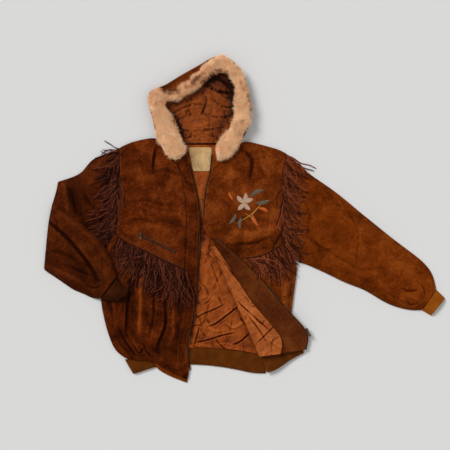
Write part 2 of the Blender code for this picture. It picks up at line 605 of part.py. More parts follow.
def fringe(name, edge_rows, count, leans, under, trim=(0.0, 1.0)):
    """Leans: share along the edge, heading in degrees, length in millimetres, curl in degrees."""
    fine = along(edge_rows, np.linspace(trim[0], trim[1], 2 * count))
    tangent = np.gradient(fine, axis=0)
    tangent /= np.linalg.norm(tangent, axis=1, keepdims=True)
    outward = np.stack([-tangent[:, 1], tangent[:, 0]], axis=1)
    table = np.array(leans, float)
    middle = math.radians(table[len(table) // 2, 1])
    if outward[count] @ np.array([math.cos(middle), math.sin(middle)]) < 0:
        outward = -outward
    near = fine + outward * 1.2 * MM
    far = fine + outward * (1.2 * MM + BACKING)
    # Root cells take 0.56 of a pitch, the gaps between them the rest.
    centre = (far[0::2] + far[1::2]) / 2
    half = (far[1::2] - far[0::2]) * 0.56
    far[0::2], far[1::2] = centre - half, centre + half
    centre = (near[0::2] + near[1::2]) / 2
    half = (near[1::2] - near[0::2]) * 0.56
    near[0::2], near[1::2] = centre - half, centre + half
    near_low = cover(near, under, 5 * MM) + SEAM
    far_low = cover(far, under, 5 * MM) + SEAM
    bm = bmesh.new()

    def corners(plan, low, thickness):
        bottom = [bm.verts.new((*spot, z)) for spot, z in zip(plan, low)]
        top = [bm.verts.new((*spot, z + thickness)) for spot, z in zip(plan, low)]
        return bottom, top

    near_bottom, near_top = corners(near, near_low, STRAND_THICKNESS)
    far_bottom, far_top = corners(far, far_low, STRAND_THICKNESS)
    cells = 2 * count - 1
    for k in range(cells):
        bm.faces.new((near_top[k], near_top[k + 1], far_top[k + 1], far_top[k]))
        bm.faces.new((near_bottom[k + 1], near_bottom[k], far_bottom[k], far_bottom[k + 1]))
        bm.faces.new((near_bottom[k], near_bottom[k + 1], near_top[k + 1], near_top[k]))
        if k % 2:
            bm.faces.new((far_bottom[k + 1], far_bottom[k], far_top[k], far_top[k + 1]))
    for k in (0, cells):
        bm.faces.new((near_bottom[k], near_top[k], far_top[k], far_bottom[k]))
    for strand in range(count):
        k = 2 * strand
        share = (strand + 0.5) / count
        heading, length, curl = (np.interp(share, table[:, 0], table[:, c]) for c in (1, 2, 3))
        length *= MM * (1 + 0.16 * math.sin(strand * 2.4) * math.cos(strand * 0.9))
        root = (far[k] + far[k + 1]) / 2
        ring = [far_bottom[k], far_bottom[k + 1], far_top[k + 1], far_top[k]]
        side = far[k + 1] - far[k]
        rings = strand_rings(root, heading, curl, length, under, max(far_low[k], far_low[k + 1]))
        for index, (spot, angle, height) in enumerate(rings):
            across = np.array([-math.sin(angle), math.cos(angle)])
            if across @ side < 0:
                across = -across
            half = across * STRAND_WIDTH * (0.5, 0.46, 0.36)[index]
            thick = STRAND_THICKNESS * (0.95, 0.9, 0.8)[index]
            a, b = spot - half, spot + half
            new = [bm.verts.new((*a, height)), bm.verts.new((*b, height)),
                   bm.verts.new((*b, height + thick)), bm.verts.new((*a, height + thick))]
            for c in range(4):
                d = (c + 1) % 4
                bm.faces.new((ring[c], ring[d], new[d], new[c]))
            ring = new
        bm.faces.new(ring)
    bmesh.ops.recalc_face_normals(bm, faces=bm.faces)
    return finish(name, bm, "fringe_suede", smooth_faces=False)


UNDER_FRINGE = ["back", "front_right", "front_left", "sleeve_left", "sleeve_right_upper"]
fringe("fringe_armhole_right", ARMHOLE_RIGHT, 30,
       ((0, 181, 48, -4), (0.05, 196, 72, 2), (0.11, 221, 100, 4), (0.5, 214, 108, 4),
        (0.8, 199, 66, 3), (1, 190, 48, 2)), UNDER_FRINGE, (0.0, 0.985))
fringe("fringe_armhole_left", ARMHOLE_LEFT_TOP + ARMHOLE_LEFT_LOW[1:], 28,
       ((0, 331, 96, -3), (0.07, 318, 98, -5), (0.16, 307, 104, -6), (0.5, 309, 106, -4),
        (1, 311, 100, -5)), UNDER_FRINGE, (0.0, 0.985))
fringe("fringe_yoke_right", YOKE_LINE_RIGHT[:-1] + ((187, 269.8),), 31,
       ((0, 269, 58, 2), (0.1, 266, 84, 0), (0.3, 262, 108, -4), (0.6, 263, 118, 3),
        (0.85, 269, 132, 4), (1, 272, 140, 3)), UNDER_FRINGE, (0.015, 1.0))
fringe("fringe_yoke_left", ((246, 257.9), (257, 256), (269, 252), (282.5, 243.5)), 16,
       ((0, 311, 62, -3), (0.4, 302, 96, -4), (0.75, 294, 108, -5), (1, 288, 104, -4)),
       UNDER_FRINGE, (0.0, 0.98))

# Right forearm and cuff, folded back over the upper sleeve and the body
forearm_rows = 9
plan = sleeve_plan(FOREARM_ELBOW, (FOREARM_LOW[-1], FOREARM_TOP[-1]), FOREARM_LOW, FOREARM_TOP, forearm_rows)
UNDER_FOREARM = ["back", "front_right", "yoke_right", "sleeve_right_upper", "fringe_armhole_right",
                 "fringe_yoke_right"]
below = cover(plan, UNDER_FOREARM, 13 * MM)
least = np.where(below > 0, below + 0.6 * MM, 0.0)
bottom = np.where(below > 0, settle(least, least, 3), 0.0)
sides = np.minimum(distance(plan, plot(FOREARM_LOW)), distance(plan, plot(FOREARM_TOP)))
sides = np.minimum(sides, distance(plan, plot(FOREARM_ELBOW)))
full = LOWEST_TUBE + 10 * MM * swell(sides / (34 * MM)) * narrowing(forearm_rows, 0.6)
top = bottom + full + folds(plan, FOREARM_FOLDS) * np.clip(sides / (40 * MM), 0, 1)
top = np.maximum(top, bottom + LOWEST_TUBE)
tube("sleeve_right_lower", plan, top, bottom, bottom + TUBE_EDGE, "suede", SLEEVE_WALL,
     closed_first=True)


def cuff(name, low, high, under, rows, full, mouth):
    """A ribbed cuff: a flattened tube that goes on from a sleeve, open at the wrist."""
    plan = sleeve_plan((low[0], high[0]), (low[-1], high[-1]), low, high, rows, CUFF_COLUMNS)
    below = cover(plan, under, 12 * MM) if under else np.zeros(plan.shape[:-1])
    bottom = np.where(below > 0, below + 0.6 * MM, 0.0)
    sides = np.minimum(distance(plan, plot(low)), distance(plan, plot(high)))
    share = swell(sides / (24 * MM))
    height = full + (mouth - full) * even(rows)[:, None]
    top = bottom + 6.6 * MM + (height - 6.6 * MM) * share
    tube(name, plan, top, bottom, bottom + 2.6 * MM, "rib_knit", CUFF_WALL)


cuff("cuff_left", CUFF_LEFT_LOW, CUFF_LEFT_TOP, [], 4, 15 * MM, 12 * MM)
cuff("cuff_right", CUFF_RIGHT_LOW, CUFF_RIGHT_TOP, UNDER_FOREARM, 4, 14 * MM, 12 * MM)

# Fur roll round the face opening: outer and inner edge of each ring
FUR = (
    (174, 161.5, 184, 155.5), (168, 157, 188, 151), (162, 151, 185.5, 145.5), (157.3, 141, 181.5, 136),
    (154, 129, 178, 126), (152, 118, 173.5, 117), (147.5, 107, 169, 109), (147.3, 97.5, 167, 105),
    (151, 89.5, 166.6, 102.5), (159, 87, 168, 101.2), (165, 89.2, 171.5, 102), (173, 89, 178.5, 101),
    (181.5, 84, 188.5, 95.5), (192, 76, 201, 86), (203, 65, 211.5, 77.5), (212.5, 56.3, 217.5, 75),
    (223.5, 54, 225, 75), (233.5, 60.3, 229.5, 79), (242, 70, 233, 86), (247.5, 83, 234.5, 93),
    (250, 98, 233.6, 102), (253, 112, 233, 113), (250.5, 126, 230.3, 123), (244.5, 135.5, 224, 133),
    (239.5, 146.5, 217, 142.5), (231, 157, 213.6, 150.5), (224.5, 162.8, 215.5, 158.5),
)
FUR_COLUMNS = 10
fur_rows = smooth(np.array(FUR, float), 2)
fur_outer = plot(fur_rows[:, :2])
fur_inner = plot(fur_rows[:, 2:])
fur_middle = (fur_outer + fur_inner) / 2
UNDER_FUR = ["hood_shell", "hood_lining", "front_right", "front_left", "yoke_right", "yoke_left", "back",
             "neck_label", "back_lining"]
fur_rest = np.zeros(len(fur_rows))
for share in (0.03, 0.12, 0.28, 0.5, 0.72, 0.88, 0.97):
    line = fur_inner + (fur_outer - fur_inner) * share
    under_side = FUR_HEIGHT * (0.5 - math.sqrt(share * (1 - share)))
    fur_rest = np.maximum(fur_rest, cover(line, UNDER_FUR, 7 * MM) - under_side)
around = np.pad(fur_rest, 1, mode="edge")
fur_rest = np.maximum(np.maximum(around[:-2], around[2:]), fur_rest) + 0.4 * MM
ring_count = len(fur_rows)
fur_grid = np.zeros((ring_count, FUR_COLUMNS + 1, 3))
for ring in range(ring_count):
    share = ring / (ring_count - 1)
    end = min(share, 1 - share) * (ring_count - 1)
    size = (0.62, 0.88)[int(end)] if end < 2 else 1.0
    lump = 1 + 0.05 * math.sin(ring * 1.9) + 0.04 * math.sin(ring * 0.83 + 1)
    height = FUR_HEIGHT * size * lump
    for column in range(FUR_COLUMNS + 1):
        angle = 2 * math.pi * column / FUR_COLUMNS
        reach = (fur_outer[ring] - fur_inner[ring]) / 2 * math.cos(angle) * min(size + 0.1, 1.0)
        rise = height * (0.5 + 0.5 * math.sin(angle))
        fur_grid[ring, column] = (*(fur_middle[ring] + reach), fur_rest[ring] + rise)
bm = bmesh.new()
add_grid(bm, fur_grid)
bmesh.ops.remove_doubles(bm, verts=bm.verts, dist=0.00002)
bmesh.ops.holes_fill(bm, edges=[edge for edge in bm.edges if edge.is_boundary])
bmesh.ops.recalc_face_normals(bm, faces=bm.faces)
finish("fur_trim", bm, "fur")

# Bands and hem ends of the fronts
RIB_TOP = ((124.3, 359.6), (138, 362), (152.6, 363.4))
RIB_LOW = ((130, 370), (133.5, 374.5), (144, 371), (153.5, 368))
rib_plan = patch(along(RIB_TOP, even(5)), along(RIB_LOW, even(5)),
                 along((RIB_TOP[0], RIB_LOW[0]), even(2)), along((RIB_TOP[-1], RIB_LOW[-1]), even(2)))
laid("waistband_front_right", rib_plan, ["back", "waistband_back"], SEAM, 12 * MM, "rib_knit", RIB)
TAB_TOP = ((154.3, 364.4), (160.3, 368.2), (170, 372.6), (180, 377.6), (187.3, 381))
TAB_LOW = ((156, 368), (160, 371.5), (168, 376), (179, 380.6), (186.8, 383.4))
tab_plan = patch(along(TAB_TOP, even(6)), along(TAB_LOW, even(6)),
                 along((TAB_TOP[0], TAB_LOW[0]), even(1)), along((TAB_TOP[-1], TAB_LOW[-1]), even(1)))
laid("hem_tab_right", tab_plan, ["waistband_back"], SEAM, 12 * MM, "suede", SUEDE)

TURNED_RIB_TOP = ((263.5, 358.6), (275, 356.6), (290, 353.8), (303.5, 351.6))
TURNED_RIB_LOW = ((269, 372.6), (277, 370), (286, 363.5), (295, 358), (304.2, 353.6))
HIDDEN_RIB_TOP = ((263.5, 358.6), (286, 352))
HIDDEN_RIB_LOW = ((269, 372.6), (284, 362))
rib_rows, rib_columns, rib_roll = 3, 6, 2.6 * MM
hidden = patch(along(HIDDEN_RIB_TOP, even(3)), along(HIDDEN_RIB_LOW, even(3)),
               along((HIDDEN_RIB_TOP[0], HIDDEN_RIB_LOW[0]), even(rib_rows)),
               along((HIDDEN_RIB_TOP[-1], HIDDEN_RIB_LOW[-1]), even(rib_rows)))
hidden_top = cover(hidden, ["back", "waistband_back"], 14 * MM) + SEAM + RIB
shown = patch(along(TURNED_RIB_TOP, even(rib_columns)), along(TURNED_RIB_LOW, even(rib_columns)),
              along((TURNED_RIB_TOP[0], TURNED_RIB_LOW[0]), even(rib_rows)),
              along((TURNED_RIB_TOP[-1], TURNED_RIB_LOW[-1]), even(rib_rows)))
band = np.zeros((rib_rows + 1, 5 + rib_columns, 3))
for row in range(rib_rows + 1):
    start = np.array([*hidden[row, 0], hidden_top[:, 0].max()])
    across = shown[row, 1] - shown[row, 0]
    across /= np.linalg.norm(across)
    for column in range(5):
        angle = math.pi * column / 4
        band[row, column, :2] = start[:2] - across * rib_roll * math.sin(angle)
        band[row, column, 2] = start[2] + rib_roll * (1 - math.cos(angle))
    for column in range(1, rib_columns + 1):
        share = column / rib_columns
        level = (1 - share) * (start[2] + 2 * rib_roll) + share * 2.0 * MM
        band[row, 4 + column, :2] = shown[row, column]
        band[row, 4 + column, 2] = level
hidden_grid = lift(hidden, hidden_top)
hidden_grid[:, 0, 2] = hidden_top[:, 0].max()
lower_rib = cloth("waistband_hidden", hidden_grid, "rib_knit", RIB)
rest = cover(band[:, 5:, :2], ["waistband_hidden", "waistband_back", "back"], 13 * MM) + 0.8 * MM
band[:, 5:, 2] = np.maximum(band[:, 5:, 2], rest)
bpy.data.objects.remove(lower_rib, do_unlink=True)
bm = bmesh.new()
add_grid(bm, hidden_grid)
add_grid(bm, band[:, ::-1])
finish("waistband_front_left", bm, "rib_knit", RIB)

# Zip tapes along the front edges
TAPE_WIDTH = 4.4 * MM


def tape(edge, inner, normal):
    """A narrow strip that goes on from a cloth edge; its far side comes first in its columns."""
    across = edge - inner
    across /= np.linalg.norm(across, axis=-1, keepdims=True)
    base = edge - normal * 0.5 * MM
    return np.stack([base + across * TAPE_WIDTH, base + across * 0.5 * MM], axis=1)


right_normals = normals(right_grid)
strip = tape(right_grid[1:-1, -1], right_grid[1:-1, -2], right_normals[1:-1, -1])
cloth("zip_tape_right", strip[:, ::-1], "zip_tape", TAPE)
left_normals = normals(left_grid)
strip = tape(left_grid[:APEX_ROWS + 1, 0], left_grid[:APEX_ROWS + 1, 1], left_normals[:APEX_ROWS + 1, 0])
cloth("zip_tape_left", strip, "zip_tape", TAPE)
turned_normals = normals(turned[:, ::-1])[:, ::-1]
turned_strip = tape(turned[2:, -1], turned[2:, -2], turned_normals[2:, -1])
cloth("zip_tape_turned", turned_strip, "zip_tape", TAPE)

# Pocket zip in the right yoke
POCKET = ((144, 236.6), (176, 252.4))
pocket_line = along(POCKET, even(8))
pocket_run = pocket_line[-1] - pocket_line[0]
pocket_side = np.array([-pocket_run[1], pocket_run[0]]) / np.linalg.norm(pocket_run) * 3.5 * MM
pocket_plan = np.stack([pocket_line + pocket_side, pocket_line - pocket_side])
laid("pocket_zip", pocket_plan, ["yoke_right"], SEAM, 10 * MM, "zip_tape", TAPE)

# Sliders with hinged pulls
BAR_RISE = 1.4 * MM  # the pull's bar over the slider's top
ARCH_RISE = 3.6 * MM
ARCH_HALF = 3.2 * MM
ARCH_RADIUS = 0.6 * MM


def block(name, size, material, bevel):
    """A box with softened edges."""
    mesh = bpy.data.meshes.new(name)
    bm = bmesh.new()
    bmesh.ops.create_cube(bm, size=1.0)
    bmesh.ops.scale(bm, vec=size, verts=bm.verts)
    bm.to_mesh(mesh)
    bm.free()
    mesh.materials.append(materials[material])
    part = bpy.data.objects.new(name, mesh)
    collection.objects.link(part)
    if bevel:
        soft = part.modifiers.new("soft", "BEVEL")
        soft.width = bevel
        soft.segments = 2
        soft.limit_method = "ANGLE"
    return part


def slider(name, pull_name, place, heading, size, pull_length):
    """A zip slider with a low arch, and a pull that swings on its bar under the arch."""
    length, width, height = size
    body = block(name, (length, width, height), "zip_metal", 0.7 * MM)
    arch_curve = bpy.data.curves.new(name + "_arch", "CURVE")
    arch_curve.dimensions = "3D"
    arch_curve.bevel_depth = ARCH_RADIUS
    arch_curve.bevel_resolution = 1
    arch_curve.use_fill_caps = True
    line = arch_curve.splines.new("POLY")
    corner = 0.8 * MM
    top = height / 2 + ARCH_RISE
    spots = ((-ARCH_HALF, 0, 0), (-ARCH_HALF, 0, top - corner), (-ARCH_HALF + corner, 0, top),
             (ARCH_HALF - corner, 0, top), (ARCH_HALF, 0, top - corner), (ARCH_HALF, 0, 0))
    line.points.add(len(spots) - 1)
    for point, spot in zip(line.points, spots):
        point.co = (*spot, 1.0)
    drawn = bpy.data.objects.new(name + "_line", arch_curve)
    collection.objects.link(drawn)
    bpy.context.view_layer.update()
    arch_mesh = bpy.data.meshes.new_from_object(drawn.evaluated_get(bpy.context.evaluated_depsgraph_get()))
    bpy.data.objects.remove(drawn, do_unlink=True)
    arch_mesh.materials.clear()
    arch_mesh.materials.append(materials["zip_metal"])
    arch = bpy.data.objects.new(name + "_arch", arch_mesh)
    collection.objects.link(arch)
    arch.hide_render = True
    join = body.modifiers.new("arch", "BOOLEAN")
    join.operation = "UNION"
    join.solver = "EXACT"
    join.object = arch
    turn = math.radians(heading)
    for item in (body, arch):
        item.location = place
        item.rotation_euler = (0, 0, turn)
    pull = block(pull_name, (pull_length, 6.6 * MM, 1.4 * MM), "zip_metal", 0.3 * MM)
    reach = pull_length / 2 - 0.8 * MM
    for vert in pull.data.vertices:
        vert.co.x += reach
    hole = block(pull_name + "_hole", (5.4 * MM, 3.6 * MM, 4 * MM), "zip_metal", 0.0)
    for vert in hole.data.vertices:
        vert.co.x += 0.8 * MM + 2.7 * MM
    hole.hide_render = True
    cut = pull.modifiers.new("loop", "BOOLEAN")
    cut.operation = "DIFFERENCE"
    cut.solver = "EXACT"
    cut.object = hole
    pivot = Vector(place) + Vector((0, 0, height / 2 + BAR_RISE))
    for item in (pull, hole):
        item.location = pivot
        item.rotation_euler = (0, 0, turn)


MAIN_SLIDER = (12 * MM, 8.4 * MM, 4.4 * MM)  # length, width and height
POCKET_SLIDER = (9 * MM, 7.4 * MM, 3.8 * MM)
SLIDER_Y = plot(((306, 331),))[0, 1]
tape_edge = turned_strip[:, 0]
low_row = int(np.searchsorted(-tape_edge[:, 1], -SLIDER_Y))
tape_run = tape_edge[low_row] - tape_edge[low_row - 1]
tape_share = (tape_edge[low_row - 1, 1] - SLIDER_Y) / (tape_edge[low_row - 1, 1] - tape_edge[low_row, 1])
tape_spot = tape_edge[low_row - 1] + tape_run * tape_share
tape_heading = math.atan2(tape_run[1], tape_run[0])
beside = np.array([-math.sin(tape_heading), math.cos(tape_heading)]) * (MAIN_SLIDER[1] / 2 + 1.5 * SEAM)
slider("main_slider", "main_pull", (*(tape_spot[:2] + beside), max(tape_spot[2], 2.7 * MM)),
       math.degrees(tape_heading), MAIN_SLIDER, 22 * MM)
pocket_spot = plot(((140.8, 233.9),))[0]
pocket_floor = cover(np.array([pocket_spot]), ["yoke_right"], 7 * MM)[0]
slider("pocket_slider", "pocket_pull", (*pocket_spot, pocket_floor + 2.3 * MM), -92, POCKET_SLIDER,
       18 * MM)
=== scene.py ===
# %% [markdown]
# # A hooded suede jacket, laid flat
# This lesson dresses a plain solid model of a jacket, so that it looks like brushed suede, satin,
# ribbed knit and fur. The solids come from a frame that is loaded first, and each soft one gives way
# to a finer piece that has its form and adds creases, nap and stitches.

import json
import math

import bmesh
import bpy
import numpy as np
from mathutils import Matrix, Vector
from mathutils.bvhtree import BVHTree

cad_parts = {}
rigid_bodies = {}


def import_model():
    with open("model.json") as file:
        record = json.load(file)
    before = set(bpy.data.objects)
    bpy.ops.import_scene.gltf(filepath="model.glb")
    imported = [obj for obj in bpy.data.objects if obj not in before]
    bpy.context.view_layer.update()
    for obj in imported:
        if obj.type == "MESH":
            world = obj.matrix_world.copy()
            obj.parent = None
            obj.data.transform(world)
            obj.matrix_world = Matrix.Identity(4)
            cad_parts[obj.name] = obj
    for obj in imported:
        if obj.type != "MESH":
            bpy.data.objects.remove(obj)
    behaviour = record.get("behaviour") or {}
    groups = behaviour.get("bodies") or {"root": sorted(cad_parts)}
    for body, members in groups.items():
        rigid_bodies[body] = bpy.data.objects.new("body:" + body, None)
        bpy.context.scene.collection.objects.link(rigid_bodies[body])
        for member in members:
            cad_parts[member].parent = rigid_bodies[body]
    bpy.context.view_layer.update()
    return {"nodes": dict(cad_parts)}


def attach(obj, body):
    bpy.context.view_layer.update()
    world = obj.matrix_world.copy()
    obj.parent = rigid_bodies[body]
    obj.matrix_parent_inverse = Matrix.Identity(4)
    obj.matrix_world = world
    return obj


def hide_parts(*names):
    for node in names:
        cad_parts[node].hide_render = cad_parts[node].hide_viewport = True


for old in list(bpy.data.objects):
    bpy.data.objects.remove(old, do_unlink=True)
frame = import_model()

# %% [markdown]
# ## Where things are
# The jacket was drawn on squared paper: one square is 3 mm. The tables below give places as squares
# right and squares down, as a pattern cutter would, and one helper turns them into metres.

# %% Squares to metres
SQUARE = 0.003
ORIGIN_SQUARE = (244.5, 218.5)
MM = 0.001


def spots(rows):
    """Places in metres for rows of squares right and squares down."""
    table = np.array(rows, float)
    return np.stack([(table[:, 0] - ORIGIN_SQUARE[0]) * SQUARE, (ORIGIN_SQUARE[1] - table[:, 1]) * SQUARE], 1)


def curve_through(rows, steps=6):
    """A smooth line through the rows, with some steps between each two."""
    points = np.array(rows, float)
    padded = np.vstack([2 * points[0] - points[1], points, 2 * points[-1] - points[-2]])
    out = []
    for a, b, c, d in zip(padded[:-3], padded[1:-2], padded[2:-1], padded[3:]):
        for k in range(steps):
            t = k / steps
            bend = (2 * a - 5 * b + 4 * c - d) * t * t + (3 * b - a - 3 * c + d) * t ** 3
            out.append(b + 0.5 * ((c - a) * t + bend))
    out.append(points[-1])
    return np.array(out)


def run_of(line):
    """How far along a line each of its points lies."""
    return np.concatenate([[0], np.cumsum(np.linalg.norm(np.diff(line, axis=0), axis=1))])


def spot_at(line, run, want):
    """The spot that lies a wanted way along a line."""
    return np.array([np.interp(want, run, line[:, 0]), np.interp(want, run, line[:, 1])])


print("the paper's origin lies at", spots([ORIGIN_SQUARE])[0])

# %% [markdown]
# ## Floor, light and camera
# The jacket lies on a pale floor and is seen from straight above, so the camera hangs over the
# middle of the picture. Two broad, far lights are soft and even, and the stronger one comes from the
# upper left, so that creases show.

# %% Floor, lamps and camera
FLOOR_SIZE = 14.0
FLOOR_DROP = 0.0015
LENS, SENSOR, DISTANCE = 100.0, 36.0, 3.77


def put(node, values):
    """Sets inputs of a node by their labels."""
    for label, value in values.items():
        node.inputs[label].default_value = value


bpy.ops.object.select_all(action="DESELECT")
bpy.ops.mesh.primitive_plane_add(size=FLOOR_SIZE, location=(0, 0, -FLOOR_DROP))
floor = bpy.context.object
floor.name = "floor"
floor_paint = bpy.data.materials.new("pale_floor")
floor_paint.use_nodes = True
put(floor_paint.node_tree.nodes["Principled BSDF"],
    {"Base Color": (0.74, 0.74, 0.74, 1), "Roughness": 0.95, "Specular IOR Level": 0.1})
floor.data.materials.append(floor_paint)

world = bpy.data.worlds.new("studio")
bpy.context.scene.world = world
world.use_nodes = True
put(world.node_tree.nodes["Background"], {"Color": (1.0, 0.99, 0.97, 1), "Strength": 0.40})


def broad_light(name, place, strength, spread):
    """A very large, far lamp: its light is even over the whole floor."""
    data = bpy.data.lights.new(name, "SUN")
    data.energy = strength
    data.angle = math.radians(spread)
    light = bpy.data.objects.new(name, data)
    bpy.context.scene.collection.objects.link(light)
    light.location = place
    light.rotation_euler = (-Vector(place)).to_track_quat("-Z", "Y").to_euler()


broad_light("key_light", (-1.9, 1.8, 2.5), 2.1, 25)
broad_light("fill_light", (1.6, -0.4, 2.6), 0.30, 60)
camera_data = bpy.data.cameras.new("overhead")
camera_data.lens = LENS
camera_data.sensor_width = SENSOR
camera = bpy.data.objects.new("overhead", camera_data)
bpy.context.scene.collection.objects.link(camera)
camera.location = (-0.0585, -0.0195, DISTANCE)
bpy.context.scene.camera = camera
bpy.context.scene.view_settings.view_transform = "Standard"
print("the picture takes in", SENSOR / LENS * DISTANCE, "m of floor")

# %% [markdown]
# ## Colours that wander
# Suede and satin are never one flat colour. A small node group called mottle turns the place on the
# piece into soft patches, and each material chooses how fine they are. A second group gives a woven
# twill. A third, creasing, gives the thin, broken crease lines of cloth that has been folded away,
# and the shallow facets between them. Where a material uses them, the lines are painted darker into
# its colour, a painted shade, and dent the surface; the facets only tilt it. Groups keep a recipe in
# one place, and every material sets its own values.

# %% Shared node groups


def new_group(name, inputs, outputs):
    group = bpy.data.node_groups.new(name, "ShaderNodeTree")
    for label, kind, value in inputs:
        socket = group.interface.new_socket(label, in_out="INPUT", socket_type=kind)
        if value is not None:
            socket.default_value = value
    for label, kind in outputs:
        group.interface.new_socket(label, in_out="OUTPUT", socket_type=kind)
    return group, group.nodes.new("NodeGroupInput"), group.nodes.new("NodeGroupOutput")


def arithmetic(tree, operation, first, second):
    node = tree.nodes.new("ShaderNodeMath")
    node.operation = operation
    for socket, value in zip(node.inputs, (first, second)):
        if isinstance(value, (int, float)):
            socket.default_value = value
        elif value is not None:
            tree.links.new(value, socket)
    return node.outputs[0]


def noise(tree, place, scale, detail=3.0, rough=0.6, distortion=0.0):
    node = tree.nodes.new("ShaderNodeTexNoise")
    for label, value in (("Scale", scale), ("Detail", detail), ("Roughness", rough), ("Distortion", distortion)):
        if isinstance(value, (int, float)):
            node.inputs[label].default_value = value
        else:
            tree.links.new(value, node.inputs[label])
    tree.links.new(place, node.inputs["Vector"])
    return node.outputs["Fac"]


mottle, mottle_in, mottle_out = new_group(
    "mottle",
    [("Place", "NodeSocketVector", None), ("Patch Scale", "NodeSocketFloat", 12.0),
     ("Blotch Scale", "NodeSocketFloat", 60.0), ("Contrast", "NodeSocketFloat", 1.6)],
    [("Mask", "NodeSocketFloat")])
patches = noise(mottle, mottle_in.outputs["Place"], mottle_in.outputs["Patch Scale"], 4.0, 0.62, 0.5)
blotches = noise(mottle, mottle_in.outputs["Place"], mottle_in.outputs["Blotch Scale"], 5.0, 0.75, 0.8)
both = arithmetic(mottle, "ADD", arithmetic(mottle, "MULTIPLY", patches, 0.5),
                  arithmetic(mottle, "MULTIPLY", blotches, 0.5))
spread = arithmetic(mottle, "MULTIPLY", arithmetic(mottle, "SUBTRACT", both, 0.5), mottle_in.outputs["Contrast"])
mottle.links.new(arithmetic(mottle, "ADD", spread, 0.5), mottle_out.inputs["Mask"])

twill, twill_in, twill_out = new_group(
    "twill", [("Place", "NodeSocketVector", None), ("Threads", "NodeSocketFloat", 1400.0)],
    [("Height", "NodeSocketFloat")])
apart = twill.nodes.new("ShaderNodeSeparateXYZ")
twill.links.new(twill_in.outputs["Place"], apart.inputs[0])
slant = arithmetic(twill, "ADD", apart.outputs[0], apart.outputs[1])
wave = arithmetic(twill, "SINE", arithmetic(twill, "MULTIPLY", slant, twill_in.outputs["Threads"]), None)
twill.links.new(wave, twill_out.inputs["Height"])

STIR_SCALE, STIR_REACH = 22.0, 0.045
LINE_SLANT, LINE_STRETCH = math.radians(38), (1.35, 0.62, 1.0)
GATE_LEVEL, GATE_GAIN = 0.46, 7.0

creasing, creasing_in, creasing_out = new_group(
    "creasing", [("Place", "NodeSocketVector", None), ("Scale", "NodeSocketFloat", 30.0),
                 ("Sharpness", "NodeSocketFloat", 14.0)],
    [("Lines", "NodeSocketFloat"), ("Facets", "NodeSocketFloat")])
stir = creasing.nodes.new("ShaderNodeTexNoise")
put(stir, {"Scale": STIR_SCALE, "Detail": 3.0})
creasing.links.new(creasing_in.outputs["Place"], stir.inputs["Vector"])
push = creasing.nodes.new("ShaderNodeVectorMath")
push.operation = "MULTIPLY_ADD"
push.inputs[1].default_value = (STIR_REACH, STIR_REACH, 0.0)
creasing.links.new(stir.outputs["Color"], push.inputs[0])
creasing.links.new(creasing_in.outputs["Place"], push.inputs[2])
turned = creasing.nodes.new("ShaderNodeMapping")
put(turned, {"Rotation": (0.0, 0.0, LINE_SLANT), "Scale": LINE_STRETCH})
creasing.links.new(push.outputs[0], turned.inputs["Vector"])
facets = []
for share, feature in ((1.0, "DISTANCE_TO_EDGE"), (1.0, "F1"), (2.3, "F1")):
    cells = creasing.nodes.new("ShaderNodeTexVoronoi")
    cells.voronoi_dimensions = "2D"
    cells.feature = feature
    creasing.links.new(turned.outputs[0], cells.inputs["Vector"])
    creasing.links.new(arithmetic(creasing, "MULTIPLY", creasing_in.outputs["Scale"], share), cells.inputs["Scale"])
    facets.append(cells.outputs["Distance"])
line = arithmetic(creasing, "SUBTRACT", 1.0,
                  arithmetic(creasing, "MULTIPLY", facets[0], creasing_in.outputs["Sharpness"]))
line = arithmetic(creasing, "MAXIMUM", line, 0.0)
where = noise(creasing, creasing_in.outputs["Place"], 26.0, 3.0, 0.6)
gate = arithmetic(creasing, "MULTIPLY", arithmetic(creasing, "SUBTRACT", where, GATE_LEVEL), GATE_GAIN)
gate = arithmetic(creasing, "MINIMUM", arithmetic(creasing, "MAXIMUM", gate, 0.0), 1.0)
creasing.links.new(arithmetic(creasing, "MULTIPLY", line, gate), creasing_out.inputs["Lines"])
tilt = arithmetic(creasing, "ADD", facets[1], arithmetic(creasing, "MULTIPLY", facets[2], 0.5))
creasing.links.new(tilt, creasing_out.inputs["Facets"])
print("groups:", mottle.name, twill.name, creasing.name)

# %% [markdown]
# ## The finishes
# A helper builds each material from a few facts: three colours from dark to light, how fine the
# patches are, and how deep the fine grain is. A stored value on the mesh, called shade, darkens or
# lightens the colour; it is mostly painted shade and painted highlight, so crease troughs go darker
# and ridges lighter.

# %% A helper for finishes
# Ribs and satin-stitch threads are painted this much lighter on top and darker between: painted highlight and painted
# shade.
RIB_PAINTED_SHADING = 0.12


def rgb(red, green, blue):
    """A colour in screen values from 0 to 255, as the linear light that a shader takes."""
    return tuple(((v / 255 + 0.055) / 1.055) ** 2.4 if v > 10 else v / 255 / 12.92 for v in (red, green, blue))


